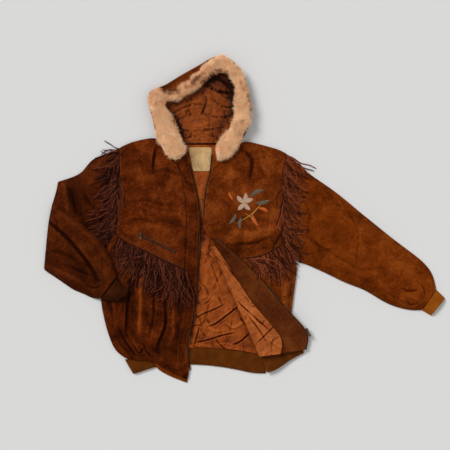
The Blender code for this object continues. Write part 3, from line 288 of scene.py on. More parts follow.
def finish_material(name, colours, roughness, patch=12.0, blotch=60.0, contrast=1.6, grain=900.0,
                    grain_depth=0.3, shade_share=0.5, sheen=0.0, sheen_tint=(1, 1, 1), weave=0.0,
                    rib=False, specular=0.3, metallic=0.0, lines=0.0, line_scale=30.0, line_depth=0.5):
    """Patch, blotch, grain, weave and line_scale say how fine a texture is; line_depth is in millimetres."""
    material = bpy.data.materials.new(name)
    material.use_nodes = True
    tree = material.node_tree
    shader = tree.nodes["Principled BSDF"]
    place = tree.nodes.new("ShaderNodeTexCoord").outputs["Object"]

    def use(group, values):
        node = tree.nodes.new("ShaderNodeGroup")
        node.node_tree = group
        tree.links.new(place, node.inputs["Place"])
        put(node, values)
        return node

    def stored(label):
        node = tree.nodes.new("ShaderNodeAttribute")
        node.attribute_name = label
        return node.outputs["Fac"]

    patches = use(mottle, {"Patch Scale": patch, "Blotch Scale": blotch, "Contrast": contrast})
    # The stored shade, mostly painted shade and painted highlight, moves the tone.
    tone = arithmetic(tree, "ADD", patches.outputs["Mask"],
                      arithmetic(tree, "MULTIPLY", stored("shade"), shade_share))
    height = noise(tree, place, grain, 4.0, 0.75)
    if rib:
        # Ribs are painted lighter on their tops and darker between them, in step with their bump: painted highlight and
        # painted shade.
        wave = arithmetic(tree, "SINE", arithmetic(tree, "MULTIPLY", stored("rib"), 2 * math.pi), None)
        tone = arithmetic(tree, "ADD", tone, arithmetic(tree, "MULTIPLY", wave, RIB_PAINTED_SHADING))
        height = arithmetic(tree, "ADD", arithmetic(tree, "MULTIPLY", height, 0.4), wave)
    if weave:
        cloth = use(twill, {"Threads": weave})
        height = arithmetic(tree, "ADD", height, arithmetic(tree, "MULTIPLY", cloth.outputs["Height"], 0.25))
    ramp = tree.nodes.new("ShaderNodeValToRGB")
    stops = ramp.color_ramp.elements
    stops[0].position = 0.12
    stops[1].position = 0.9
    middle = stops.new(0.5)
    for element, colour in zip((stops[0], middle, stops[2]), colours):
        element.color = (*rgb(*colour), 1.0)
    bump = tree.nodes.new("ShaderNodeBump")
    if lines:
        folded = use(creasing, {"Scale": line_scale})
        # Crease lines are painted darker into the colour: a painted shade.
        tone = arithmetic(tree, "SUBTRACT", tone, arithmetic(tree, "MULTIPLY", folded.outputs["Lines"], lines))
        deep = tree.nodes.new("ShaderNodeBump")
        deep.invert = True
        put(deep, {"Strength": 1.0, "Distance": line_depth * MM})
        hollow = arithmetic(tree, "MULTIPLY", folded.outputs["Lines"], 0.5)
        tree.links.new(arithmetic(tree, "ADD", hollow, folded.outputs["Facets"]), deep.inputs["Height"])
        tree.links.new(deep.outputs[0], bump.inputs["Normal"])
    tree.links.new(tone, ramp.inputs[0])
    tree.links.new(ramp.outputs[0], shader.inputs["Base Color"])
    put(bump, {"Strength": grain_depth, "Distance": 0.001})
    tree.links.new(height, bump.inputs["Height"])
    tree.links.new(bump.outputs[0], shader.inputs["Normal"])
    rough = arithmetic(tree, "ADD", arithmetic(tree, "MULTIPLY", patches.outputs["Mask"], 0.08), roughness - 0.04)
    tree.links.new(rough, shader.inputs["Roughness"])
    put(shader, {"Specular IOR Level": specular, "Sheen Weight": sheen, "Sheen Roughness": 0.5,
                 "Sheen Tint": (*sheen_tint, 1.0), "Metallic": metallic})
    return material


def family(roughness, **common):
    """Gives a maker of finishes that share all but their colours and a few values."""
    def make(name, colours, **own):
        return finish_material(name, colours, roughness, **{**common, **own})
    return make


# %% The finishes themselves
suede = family(0.95, patch=20.0, blotch=170.0, contrast=2.5, grain=800.0, sheen=0.03, sheen_tint=(0.8, 0.35, 0.1),
               specular=0.03, shade_share=0.42, lines=0.12, line_scale=12.0)
suede_front = suede("brushed_suede", ((40, 11, 1), (86, 32, 5), (130, 60, 19)))
suede_left = suede("brushed_suede_left", ((48, 15, 1), (99, 40, 7), (142, 70, 24)))
suede_warm = suede("brushed_suede_warm", ((70, 25, 1), (110, 46, 6), (142, 68, 18)), line_scale=11.0)
suede_deep = suede("brushed_suede_deep", ((34, 9, 0), (65, 23, 4), (98, 42, 11)), patch=18.0, contrast=2.4)
suede_facing = suede("facing_suede", ((50, 18, 4), (82, 36, 11), (108, 54, 20)), patch=16.0, blotch=90.0,
                     contrast=2.0, shade_share=0.5, lines=0.1, line_scale=15.0)
fringing = family(0.93, patch=90.0, blotch=260.0, contrast=2.0, grain=900.0, sheen=0.04,
                  sheen_tint=(0.9, 0.5, 0.4), specular=0.08, shade_share=0.9)
fringe_suede = fringing("fringe_suede", ((30, 8, 3), (62, 24, 13), (98, 46, 28)))
fringe_warm = fringing("fringe_suede_warm", ((46, 14, 4), (88, 38, 17), (128, 62, 34)))
glossy = family(0.55, patch=14.0, blotch=90.0, grain=260.0, grain_depth=0.12, weave=3600.0, specular=0.1,
                lines=0.26)
satin = glossy("satin_lining", ((78, 22, 1), (144, 66, 15), (184, 98, 34)), contrast=1.3, line_scale=18.0,
               line_depth=6.0)
satin_flap = glossy("satin_lining_flap", ((84, 26, 4), (158, 80, 30), (202, 116, 58)), contrast=1.5,
                    line_scale=20.0, line_depth=5.0)
satin_hood = glossy("satin_hood_lining", ((38, 9, 0), (124, 56, 11), (166, 84, 28)), contrast=1.4,
                    line_scale=24.0, line_depth=5.0)
knit = family(0.95, patch=10.0, blotch=70.0, contrast=1.2, grain=1500.0, grain_depth=0.5, rib=True, specular=0.03)
rib_knit = knit("rib_knit", ((60, 26, 4), (91, 45, 9), (112, 60, 18)))
rib_knit_dark = knit("rib_knit_dark", ((28, 10, 1), (50, 21, 5), (74, 36, 12)))
rib_knit_warm = knit("rib_knit_warm", ((104, 50, 7), (146, 76, 15), (170, 94, 28)))
woven = family(0.85, specular=0.1)
zip_cloth = woven("zip_tape_cloth", ((34, 15, 6), (56, 28, 13), (80, 46, 26)), patch=20.0, blotch=200.0,
                  contrast=1.2, grain=1200.0, weave=5200.0)
label_cloth = woven("label_cloth", ((140, 108, 70), (204, 166, 114), (232, 200, 150)), patch=26.0, blotch=160.0,
                    contrast=2.0, grain=900.0, weave=4200.0)
dull_metal = finish_material("worn_zip_metal", ((44, 33, 22), (94, 74, 54), (146, 124, 98)), 0.45, patch=160.0,
                             blotch=700.0, contrast=1.8, grain=2600.0, grain_depth=0.08, specular=0.5, metallic=1.0)
print("materials so far:", len(bpy.data.materials))

# %% [markdown]
# ## Refining a cloth solid
# A cloth solid is a coarse wall of triangles. The copy is welded, its triangles are paired into
# quads, its hard rims are creased so that they keep their line, and Subdivision Surface makes it
# smooth. Then it has enough points to carry creases.

# %% Copy and refine
WELD = 2e-5
RIM_ANGLE, RIM_CREASE = math.radians(62), 0.9
SHARP_ANGLE = math.radians(55)


def refined(node, name, levels):
    """A finer, smooth copy of one solid."""
    bm = bmesh.new()
    bm.from_mesh(frame["nodes"][node].data)
    bmesh.ops.remove_doubles(bm, verts=bm.verts, dist=WELD)
    bmesh.ops.join_triangles(bm, faces=bm.faces, angle_face_threshold=math.pi, angle_shape_threshold=math.pi)
    hard = bm.edges.layers.float.new("crease_edge")
    for edge in bm.edges:
        if len(edge.link_faces) == 2 and edge.calc_face_angle(0.0) > RIM_ANGLE:
            edge[hard] = RIM_CREASE
    mesh = bpy.data.meshes.new(name)
    bm.to_mesh(mesh)
    bm.free()
    draft = bpy.data.objects.new(name + "_draft", mesh)
    bpy.context.scene.collection.objects.link(draft)
    soft = draft.modifiers.new("soft", "SUBSURF")
    soft.levels = levels
    soft.render_levels = levels
    bpy.context.view_layer.update()
    smooth = bpy.data.meshes.new_from_object(draft.evaluated_get(bpy.context.evaluated_depsgraph_get()))
    bpy.data.objects.remove(draft, do_unlink=True)
    smooth.name = name
    piece = bpy.data.objects.new(name, smooth)
    bpy.context.scene.collection.objects.link(piece)
    return piece


def points_of(piece):
    co = np.zeros(len(piece.data.vertices) * 3)
    piece.data.vertices.foreach_get("co", co)
    return co.reshape(-1, 3)


def store(piece, name, values):
    layer = piece.data.attributes.get(name) or piece.data.attributes.new(name, "FLOAT", "POINT")
    layer.data.foreach_set("value", np.asarray(values, np.float32))


def dress(piece, material, node):
    """Gives a piece its finish and its body, and takes the place of a node if one is named."""
    piece.data.materials.clear()
    piece.data.materials.append(material)
    if "shade" not in piece.data.attributes:
        store(piece, "shade", np.zeros(len(piece.data.vertices)))
    piece.data.shade_smooth()
    piece.data.set_sharp_from_angle(angle=SHARP_ANGLE)
    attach(piece, "jacket")
    if node:
        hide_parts(node)
    return piece


print("a cloth copy is ready to be made from", len(frame["nodes"]), "solids")

# %% [markdown]
# ## Creases
# Cloth that has been worn folds in the same places again and again. Each crease is a row in a
# table: the squares that it runs through, how deep it is in millimetres and how wide. A negative
# depth is a trough with raised lips, and a positive one is a ridge. Both fade out at their ends.

# %% Crease and wander helpers


def nearest_on(plan, line):
    """How far each point is from a line, and which share of the line lies before the nearest place."""
    a, run = line[:-1], line[1:] - line[:-1]
    best = np.full(len(plan), 1e9)
    share = np.zeros(len(plan))
    for k in range(len(a)):
        rel = plan - a[k]
        t = np.clip(rel @ run[k] / max(run[k] @ run[k], 1e-12), 0, 1)
        away = np.linalg.norm(rel - t[:, None] * run[k], axis=1)
        closer = away < best
        best = np.where(closer, away, best)
        share = np.where(closer, (k + t) / len(a), share)
    return best, share


def relief(plan, creases, thin=1.0):
    """Height that a table of creases adds at each point."""
    total = np.zeros(len(plan))
    for rows, depth, width in creases:
        away, share = nearest_on(plan, curve_through(spots(rows), 4))
        fade = np.clip(np.sin(np.pi * np.clip(share, 0.001, 0.999)), 0, 1) ** 0.55
        u = away / (width * thin * MM)
        if depth >= 0:
            shape = np.exp(-u ** 2)
        else:
            shape = np.exp(-(u / 0.7) ** 2) - 0.36 * np.exp(-((u - 1.7) / 0.8) ** 2)
        total += depth * MM * shape * fade
    return total


def wander(plan, size, seed):
    """Smooth uneven heights between -1 and 1, with bumps about the given size."""
    turn = np.random.default_rng(seed)
    total = np.zeros(len(plan))
    for _ in range(9):
        angle = turn.uniform(0, math.pi)
        pitch = size * turn.uniform(0.7, 1.9)
        way = np.array([math.cos(angle), math.sin(angle)])
        side = np.array([-way[1], way[0]])
        bend = 0.5 * np.sin(plan @ side * 2 * math.pi / (pitch * 1.7) + turn.uniform(0, 6.3))
        total += np.sin(plan @ way * 2 * math.pi / pitch + bend * 2 + turn.uniform(0, 6.3))
    return total / 5.0


def near_line(piece, rows, reach):
    """1 on a line and fading to 0 at about twice the reach, for painted shading along listed lines."""
    return np.exp(-(nearest_on(points_of(piece)[:, :2], spots(rows))[0] / (reach * MM)) ** 2)


def reach_out(piece, rows, reach, way, falloff):
    """Moves points near a line sideways, most on the line itself, so that a rim meets what lies beside it."""
    co = points_of(piece)
    share = np.exp(-(nearest_on(co[:, :2], spots(rows))[0] / (falloff * MM)) ** 2)
    co[:, :2] += share[:, None] * reach * MM * np.array(way)
    piece.data.vertices.foreach_set("co", co.ravel())


SLIDER_SIDE = (((306, 329), (308, 335)), 2.6, (0.886, 0.463), 26)


def tree_of(piece):
    return BVHTree.FromObject(piece, bpy.context.evaluated_depsgraph_get())


def layer_share(piece, co, reach=0.010):
    """1 on the upper cloth of a flattened tube, 0 on its underside and towards its folded edges."""
    tree = tree_of(piece)
    share = np.zeros(len(co))
    for k, (x, y, z) in enumerate(co):
        top = tree.ray_cast(Vector((x, y, 1.0)), Vector((0, 0, -1)))[0]
        low = tree.ray_cast(Vector((x, y, -1.0)), Vector((0, 0, 1)))[0]
        if top is None or low is None:
            continue
        tall = top.z - low.z
        up = (z - low.z) / max(tall, 1e-6)
        share[k] = min(max((up - 0.35) / 0.3, 0), 1) * min(tall / reach, 1.0)
    return share


def shape_cloth(piece, creases, share=1.0, bumps=(), upward=False, shade_gain=1.0, tint=0.0, thin=1.0):
    """Moves the points up or down by the creases and bumps, and stores a painted shade, darker where the cloth dips and
    lighter where it rises, with the tint added.
    """
    co = points_of(piece)
    plan = co[:, :2]
    lift = relief(plan, creases, thin)
    for size, height, seed in bumps:
        lift = lift + wander(plan, size, seed) * height * MM
    # Painted shade where the cloth dips and a weaker painted highlight where it rises.
    dark = np.where(lift > 0, 0.45 * lift, lift) / (4 * MM)
    if upward:
        lift = lift - np.minimum(lift.min(), 0)
    co[:, 2] += lift * share
    piece.data.vertices.foreach_set("co", co.ravel())
    piece.data.update()
    store(piece, "shade", np.clip(dark * shade_gain + tint, -1.5, 1.0))


def shading(piece, marks, start=0.0):
    """Adds marks to a first shade; most are painted shade or painted highlight. Each mark has an amount, a reach in
    millimetres and its squares.
    """
    for amount, reach, rows in marks:
        start = start + amount * near_line(piece, rows, reach)
    return start


def sew(piece, node, material, cut, area, creases=(), held="laid", rests_on=(), slot="suede", moves=(), **shape):
    """Creases a refined piece, moves its rims and gives it its finish; how its cloth was cut is not used."""
    shape_cloth(piece, creases, **shape)
    for move in moves:
        reach_out(piece, *move)
    dress(piece, material, node)


print("crease helpers ready")

# %% [markdown]
# ## Right front and its yoke
# The front is one large panel with an upper part, the yoke, sewn on top. Below the yoke the suede
# hangs in upright folds that are gathered into the ribbed band. The yoke lies on the front, so both
# get the same creases and stay together.

# %% Creases of the right front
FRONT_RIGHT_CREASES = [
    (((156, 147), (154, 158), (153, 170)), -5.0, 6),
    (((160, 147), (174, 160), (188, 182)), -2.6, 6),
    (((128, 203), (146, 200), (160, 204), (176, 205)), -2.2, 7),
    (((124, 212), (140, 207), (168, 214), (190, 210)), 2.4, 10),
    (((150, 174), (166, 170), (182, 178)), -2.0, 9),
    (((126, 176), (138, 170), (150, 176)), 2.2, 11),
    (((120, 236), (150, 226), (176, 232)), 2.2, 12),
    (((134, 186), (152, 190), (172, 188)), 2.0, 10),
    (((128, 222), (142, 219), (156, 224)), -2.2, 7),
    (((131, 280), (128, 305), (126, 336)), -6.5, 6),
    (((141, 278), (141, 305), (139, 334)), 6.0, 9),
    (((136, 262), (134, 284), (133, 300)), -3.0, 6),
    (((153, 284), (154, 312), (149, 340)), -3.5, 6),
    (((165, 300), (166, 324), (160, 340), (156, 352)), -7.0, 6),
    (((172, 296), (174, 330), (168, 350)), 4.0, 9),
    (((180, 300), (178, 330), (176, 352)), 2.0, 7),
    (((118, 326), (126, 342), (137, 357)), -5.5, 5),
    (((122, 322), (132, 338), (141, 354)), 4.0, 6),
    (((112, 300), (116, 322), (119, 340)), 3.0, 8),
    (((134, 345), (139, 353), (145, 347)), -5.0, 4),
    (((144, 343), (147, 352), (153, 358)), -3.5, 4),
    (((152, 350), (158, 357), (164, 362)), 3.0, 5),
    (((106, 280), (110, 300), (113, 318)), -2.4, 8),
]
FRONT_RIGHT_BUMPS = [(0.075, 0.8, 3), (0.034, 0.42, 8)]
# Painted shading on the right front: lighter along ridges, darker along troughs and hollows.
FRONT_RIGHT_PAINTED_SHADING = [
    (0.55, 7, ((141, 276), (141, 305), (139, 334))),
    (0.3, 7, ((172, 296), (174, 332))),
    (-0.5, 7, ((131, 282), (129, 305), (127, 336))),
    (-0.55, 6, ((165, 298), (166, 324), (157, 351))),
    (-0.4, 9, ((182, 290), (179, 320), (176, 352))),
    (-0.5, 9, ((108, 300), (118, 336), (132, 358))),
]
# Painted shade on the right yoke, along a trough and down its left side.
YOKE_RIGHT_PAINTED_SHADE = [
    (-0.5, 7, ((158, 146), (155, 158), (153, 172))),
    (-0.3, 14, ((126, 178), (124, 200), (124, 226))),
]
YOKE_LOW = spots(((0, 262),))[0, 1]

# %% Shape the right front
front_right = refined("front_right", "right_front", 3)
# The right front starts darker below the yoke; its painted shading is added to that.
below_yoke = np.clip((YOKE_LOW - points_of(front_right)[:, 1]) / 0.06, 0, 1)
sew(front_right, "front_right", suede_front, (0.34, 0.76), 0.185, FRONT_RIGHT_CREASES, rests_on=["back"],
    bumps=FRONT_RIGHT_BUMPS, thin=0.75, tint=shading(front_right, FRONT_RIGHT_PAINTED_SHADING, -0.36 * below_yoke))
yoke_right = refined("yoke_right", "right_yoke", 3)
sew(yoke_right, "yoke_right", suede_front, (0.26, 0.42), 0.088, FRONT_RIGHT_CREASES, rests_on=[front_right],
    bumps=FRONT_RIGHT_BUMPS, thin=0.75, tint=shading(yoke_right, YOKE_RIGHT_PAINTED_SHADE))
print("right front:", len(front_right.data.polygons), "faces")

# %% [markdown]
# ## Left front
# The left front lies flat at the chest, and its lower half is turned back, so that the lining and
# the facing show. The suede itself gets only soft creases, and the lining on top of it the sharp
# ones that thin satin makes.

# %% Creases of the left front
FRONT_LEFT_CREASES = [
    (((243, 150), (252, 160), (250, 178)), -2.6, 7),
    (((256, 148), (262, 158), (266, 172)), 2.4, 9),
    (((222, 178), (236, 172), (254, 176)), 1.8, 11),
    (((226, 222), (248, 218), (274, 222)), -2.0, 8),
    (((230, 232), (252, 234), (276, 228)), 2.2, 10),
    (((236, 244), (252, 243), (270, 238)), -2.4, 6),
    (((262, 206), (272, 196), (279, 190)), 1.8, 9),
    (((284, 262), (286, 290), (284, 318)), 2.4, 9),
    (((292, 268), (291, 290), (288, 312)), -2.0, 7),
]
FRONT_LEFT_BUMPS = [(0.07, 0.7, 5), (0.032, 0.36, 9)]
# The first row darkens the lower yoke; the others are painted shade along troughs and a painted highlight along a
# ridge.
YOKE_LEFT_TONE_AND_SHADING = [
    (-0.4, 26, ((230, 252), (254, 250), (278, 240))),
    (-0.45, 6, ((236, 244), (252, 243), (270, 237))),
    (0.3, 8, ((232, 232), (252, 234), (272, 228))),
    (-0.35, 7, ((243, 150), (252, 160), (250, 178))),
]
ROLL_LINE = ((204, 217), (222, 265), (239, 304), (262, 356))
ROLL_REACH = 0.03  # creases grow to their full depth over this distance from the roll
TURNED_HEIGHT = 0.024  # below the middle, cloth higher than this gets no creases here

# %% Shape the left front
front_left = refined("front_left", "left_front", 3)
left_co = points_of(front_left)
roll_far = nearest_on(left_co[:, :2], spots(ROLL_LINE))[0]
flat_share = np.clip(roll_far / ROLL_REACH, 0, 1) * (left_co[:, 1] > YOKE_LOW)
side_part = left_co[:, 0] > spots(((281, 0),))[0, 0]
flat_share = np.where(side_part, 1.0, flat_share)
turned_top = (left_co[:, 2] > TURNED_HEIGHT) & (left_co[:, 1] < 0.0)
sew(front_left, "front_left", suede_left, (0.36, 0.76), 0.19, FRONT_LEFT_CREASES, "folded", ["back"],
    moves=[SLIDER_SIDE], share=np.where(turned_top, 0.0, flat_share), bumps=FRONT_LEFT_BUMPS, tint=0.4 * side_part)
yoke_left = refined("yoke_left", "left_yoke", 3)
yoke_far = nearest_on(points_of(yoke_left)[:, :2], spots(ROLL_LINE[:3]))[0]
sew(yoke_left, "yoke_left", suede_left, (0.26, 0.36), 0.07, FRONT_LEFT_CREASES, rests_on=[front_left],
    share=np.clip(yoke_far / ROLL_REACH, 0, 1), bumps=FRONT_LEFT_BUMPS, tint=shading(yoke_left, YOKE_LEFT_TONE_AND_SHADING))
print("left front:", len(front_left.data.polygons), "faces")

# %% [markdown]
# ## Lining and facing
# Satin is thin and slippery, so its creases are narrow, run in bundles and catch the light. They
# only rise from the cloth below, so that nothing sinks into it.

# %% Lining creases
BACK_LINING_CREASES = [
    (((246, 300), (237, 308), (228, 315), (216, 324), (206, 328)), -6.0, 5),
    (((194, 320), (204, 314), (214, 310), (224, 305)), -4.6, 4.5),
    (((190, 332), (194, 326), (203, 326)), -3.6, 4),
    (((200, 326), (197, 336), (194, 347)), -4.6, 4),
    (((194, 343), (206, 341), (222, 336), (236, 333)), -5.4, 4.5),
    (((232, 346), (242, 341), (252, 332)), -5.0, 5),
    (((222, 250), (226, 268), (233, 290), (238, 304)), -3.6, 6),
    (((208, 252), (214, 272), (221, 290)), -3.0, 5),
    (((210, 232), (206, 250), (203, 274)), 1.8, 9),
    (((230, 272), (236, 290), (243, 302)), 2.6, 6),
    (((204, 322), (214, 331), (230, 330)), 4.0, 7),
    (((224, 322), (234, 328), (247, 320)), 5.0, 7),
    (((198, 300), (208, 297), (220, 302)), 2.4, 7),
    (((206, 262), (206, 280), (204, 300)), 1.6, 8),
    (((240, 318), (248, 328), (258, 344)), -5.6, 5),
    (((214, 346), (226, 344), (240, 348)), 3.2, 4.5),
    (((196, 346), (203, 345), (210, 347)), 3.0, 4),
    (((216, 340), (220, 345), (226, 349)), -4.0, 3.5),
    (((226, 318), (232, 312), (236, 304)), -2.6, 4),
    (((202, 306), (209, 301), (214, 292)), -2.4, 4),
    (((196, 184), (199, 200), (200, 216)), 1.6, 6),
]
FLAP_CREASES = [
    (((236, 300), (246, 309), (258, 320), (272, 332)), -5.0, 4.5),
    (((256, 344), (264, 336), (272, 328), (279, 321)), -4.6, 4.5),
    (((248, 316), (258, 328), (268, 344)), -3.6, 4.5),
    (((246, 306), (254, 318), (262, 330)), 3.4, 6),
    (((224, 262), (234, 275), (246, 290)), -3.4, 5),
    (((238, 276), (252, 290), (266, 302)), 2.6, 6),
    (((262, 302), (272, 313), (284, 328), (290, 338)), -3.4, 4.5),
    (((250, 294), (260, 302), (274, 311)), -2.6, 4),
    (((268, 338), (276, 344), (286, 349)), 3.6, 5),
    (((280, 328), (287, 338), (293, 352)), -3.6, 4),
    (((246, 300), (256, 300), (264, 306)), -2.2, 3.5),
    (((270, 344), (276, 338), (282, 336)), -3.0, 4),
]
HOOD_CREASES = [
    (((172, 114), (184, 107), (198, 104), (210, 107)), -4.4, 5),
    (((182, 122), (198, 126), (216, 120)), 3.0, 7),
    (((176, 128), (190, 131), (208, 130), (224, 127)), -3.4, 5),
    (((201, 90), (206, 98), (204, 108), (199, 120)), -4.4, 5),
    (((188, 97), (195, 104), (192, 112), (186, 118)), -3.4, 4.5),
    (((206, 84), (218, 91), (234, 94)), -6.0, 7),
    (((210, 96), (220, 105), (234, 108)), -4.0, 5),
    (((206, 112), (216, 117), (230, 116)), -3.6, 4.5),
    (((182, 103), (190, 94), (204, 85)), 3.0, 7),
    (((208, 100), (214, 108), (213, 118)), 3.0, 5),
    (((214, 76), (224, 82), (234, 92)), -5.0, 7),
    (((172, 112), (178, 122), (184, 136)), -3.6, 6),
    (((186, 138), (196, 136), (206, 138)), -3.0, 4),
    (((206, 134), (214, 137), (222, 140)), -3.0, 4),
    (((192, 122), (200, 119), (208, 121)), -2.6, 4),
]
SATIN_BUMPS = [(0.022, 0.42, 21), (0.011, 0.20, 22)]
# Painted shade on the back lining: at the neck, beside the zip edge, beside the flap's edge and along the hem.
BACK_LINING_PAINTED_SHADE = [
    (-0.6, 14, ((201, 220), (203, 238))),
    (-0.4, 8, ((199, 219), (198, 247), (197, 274), (196, 296), (194, 313), (191, 335))),
    (-0.45, 7, ((212, 244), (225, 275), (240, 312), (252, 340))),
    (-0.35, 14, ((196, 338), (220, 342), (250, 346))),
]
FACING_MARKS = [(0.9, 12, ((287, 340), (297, 357))), (-0.4, 16, ((214, 240), (226, 252)))]
FUR_EDGE = ((183, 138), (178, 120), (168, 106), (188, 96), (208, 83), (220, 74), (228, 78), (233, 92), (234, 110),
            (226, 120), (214, 134))
# Painted shadow on the hood lining under the fur's inner edge and deep in its top.
HOOD_PAINTED_SHADOW = [(-0.6, 14, FUR_EDGE), (-0.6, 26, ((214, 78), (228, 86), (232, 98)))]
LINING_HEM = ((160, 352), (187, 347.4), (216, 347.4), (247, 351), (262, 355))
LINING_FLOOR = 2.3 * MM
HEM_REACH, HEM_OVERHANG = 8 * MM, 3.4 * MM

# %% Shape lining, facing and hood
back_lining = refined("back_lining", "back_lining_satin", 4)
shape_cloth(back_lining, BACK_LINING_CREASES, bumps=SATIN_BUMPS, shade_gain=1.1, thin=0.6,
            tint=shading(back_lining, BACK_LINING_PAINTED_SHADE))
co = points_of(back_lining)
co[:, 2] = np.maximum(co[:, 2], LINING_FLOOR)
hem_away, hem_share = nearest_on(co[:, :2], spots(LINING_HEM))
puff = np.clip(1 - hem_away / HEM_REACH, 0, 1)
co[:, 1] -= HEM_OVERHANG * puff
co[:, 2] += (1.5 + 1.1 * np.sin(hem_share * 95 + 2 * np.sin(hem_share * 31))) * MM * puff
back_lining.data.vertices.foreach_set("co", co.ravel())
dress(back_lining, satin, "back_lining")
lining_left = refined("lining_left", "left_lining_satin", 4)
sew(lining_left, "lining_left", satin_flap, (0.22, 0.33), 0.022, FLAP_CREASES, "folded", [front_left], "satin",
    bumps=SATIN_BUMPS, upward=True, shade_gain=1.1, thin=0.6)
facing_left = refined("facing_left", "left_facing", 3)
sew(facing_left, "facing_left", suede_facing, (0.10, 0.42), 0.026,
    [(((212, 236), (236, 258), (262, 284), (290, 318)), 1.2, 9)], "folded", [front_left], "suede_facing",
    [SLIDER_SIDE, (((286, 305), (300, 321), (306, 329), (308, 338)), 1.1, (0.886, 0.463), 12)],
    bumps=[(0.05, 0.5, 31)], upward=True, tint=shading(facing_left, FACING_MARKS))
hood_lining = refined("hood_lining", "hood_lining_satin", 4)
sew(hood_lining, "hood_lining", satin_hood, (0.31, 0.28), 0.067, HOOD_CREASES, "laid", ["hood_shell"], "satin",
    bumps=[(0.026, 0.7, 24), (0.012, 0.3, 25)], upward=True, tint=shading(hood_lining, HOOD_PAINTED_SHADOW, 0.12), thin=0.7)
hood_shell = refined("hood_shell", "hood_suede", 3)
sew(hood_shell, "hood_shell", suede_front, (0.31, 0.28), 0.067, share=0.0)
back = refined("back", "back_panel", 2)
sew(back, "back", suede_front, (0.59, 0.65), 0.33, share=0.0)
print("linings and hood shaped")

# %% [markdown]
# ## Sleeves
# A sleeve lies as a flattened tube. Only its upper side shows the creases, so a share is worked out
# for each point: full on top, nothing underneath and at the folded edges.

# %% Sleeve creases
SLEEVE_LEFT_CREASES = [
    (((347, 210), (354, 222), (358, 237), (356, 268)), -3.6, 5),
    (((356, 270), (372, 269), (401, 266)), -3.2, 5),
    (((304, 236), (330, 252), (360, 270)), -3.4, 6),
    (((303, 200), (310, 216), (306, 236)), -3.0, 7),
    (((310, 182), (322, 200), (326, 222)), 2.6, 12),
    (((330, 204), (352, 224), (384, 246)), 3.0, 13),
    (((318, 252), (346, 268), (372, 280)), 2.6, 9),
    (((400, 288), (409, 291), (418, 290)), -7.0, 5),
    (((402, 293), (410, 296), (420, 300)), 5.5, 5),
    (((406, 299), (411, 305), (420, 303)), -5.0, 4),
    (((424, 272), (432, 282), (431, 296)), 3.6, 6),
    (((416, 280), (424, 288), (426, 298)), -4.0, 5),
    (((380, 262), (400, 276), (414, 282)), 2.4, 9),
    (((384, 290), (396, 298), (410, 306)), -2.4, 6),
    (((374, 236), (390, 250), (402, 262)), -1.8, 8),
]
SLEEVE_RIGHT_CREASES = [
    (((62, 182), (67, 196), (69, 214)), 6.0, 5),
    (((70, 190), (74, 200), (76, 216)), -6.0, 6),
    (((84, 176), (96, 184), (108, 182)), 2.6, 11),
    (((82, 190), (92, 206), (104, 214)), -2.4, 9),
    (((92, 196), (104, 206), (112, 222)), 2.4, 10),
    (((88, 168), (100, 172), (112, 168)), -2.2, 8),
]
FOREARM_CREASES = [
    (((54, 208), (76, 224), (98, 244), (114, 270)), 5.0, 9),
    (((47, 220), (68, 238), (86, 260), (98, 280)), -7.0, 7),
    (((50, 250), (66, 254), (80, 262)), -2.6, 9),
    (((47, 266), (66, 274), (86, 284)), 5.0, 8),
    (((62, 264), (78, 270), (92, 276)), -4.0, 6),
    (((54, 216), (58, 226), (56, 240)), -2.6, 7),
    (((96, 262), (104, 272), (110, 276)), 2.6, 6),
    (((84, 284), (94, 288), (104, 284)), -3.4, 5),
]
# Painted shading on the sleeves and forearm: positive rows are painted highlights along ridges, negative rows painted
# shade along troughs and hollows.
SLEEVE_LEFT_PAINTED_SHADING = [
    (0.3, 6, ((404, 294), (411, 297), (420, 300))),
    (-0.3, 16, ((300, 222), (330, 262), (372, 286), (404, 306))),
    (0.3, 16, ((392, 262), (412, 272), (424, 288))),
]
SLEEVE_RIGHT_PAINTED_SHADING = [
    (0.45, 9, ((62, 184), (65, 196), (66, 210))),
    (-0.7, 13, ((70, 190), (76, 208), (88, 230))),
    (0.35, 18, ((84, 172), (96, 166), (108, 158))),
]
FOREARM_PAINTED_SHADING = [
    (0.05, 20, ((52, 214), (72, 226), (92, 248), (108, 272))),
    (-0.7, 7, ((47, 220), (68, 238), (86, 260), (98, 280))),
    (-0.25, 22, ((52, 250), (74, 262), (92, 280))),
    (0.4, 7, ((56, 272), (76, 280), (94, 290))),
]

# %% Shape the sleeves
sleeve_left = refined("sleeve_left", "left_sleeve", 3)
sew(sleeve_left, "sleeve_left", suede_warm, (0.52, 0.50), 0.215, SLEEVE_LEFT_CREASES,
    share=layer_share(sleeve_left, points_of(sleeve_left)), bumps=[(0.07, 0.8, 41), (0.03, 0.4, 42)], thin=0.7,
    shade_gain=0.75, tint=shading(sleeve_left, SLEEVE_LEFT_PAINTED_SHADING))
sleeve_upper = refined("sleeve_right_upper", "right_sleeve_upper", 3)
sew(sleeve_upper, "sleeve_right_upper", suede_deep, (0.50, 0.28), 0.116, SLEEVE_RIGHT_CREASES, "folded",
    share=layer_share(sleeve_upper, points_of(sleeve_upper)), bumps=[(0.07, 0.8, 43), (0.03, 0.4, 44)], thin=0.8,
    tint=shading(sleeve_upper, SLEEVE_RIGHT_PAINTED_SHADING))
forearm = refined("sleeve_right_lower", "right_sleeve_forearm", 3)
sew(forearm, "sleeve_right_lower", suede_deep, (0.42, 0.24), 0.085, FOREARM_CREASES, "folded",
    [sleeve_upper, front_right], share=layer_share(forearm, points_of(forearm)),
    bumps=[(0.06, 0.8, 45), (0.028, 0.4, 46)], thin=0.8, tint=shading(forearm, FOREARM_PAINTED_SHADING))
print("sleeves:", len(sleeve_left.data.polygons) + len(sleeve_upper.data.polygons) + len(forearm.data.polygons))

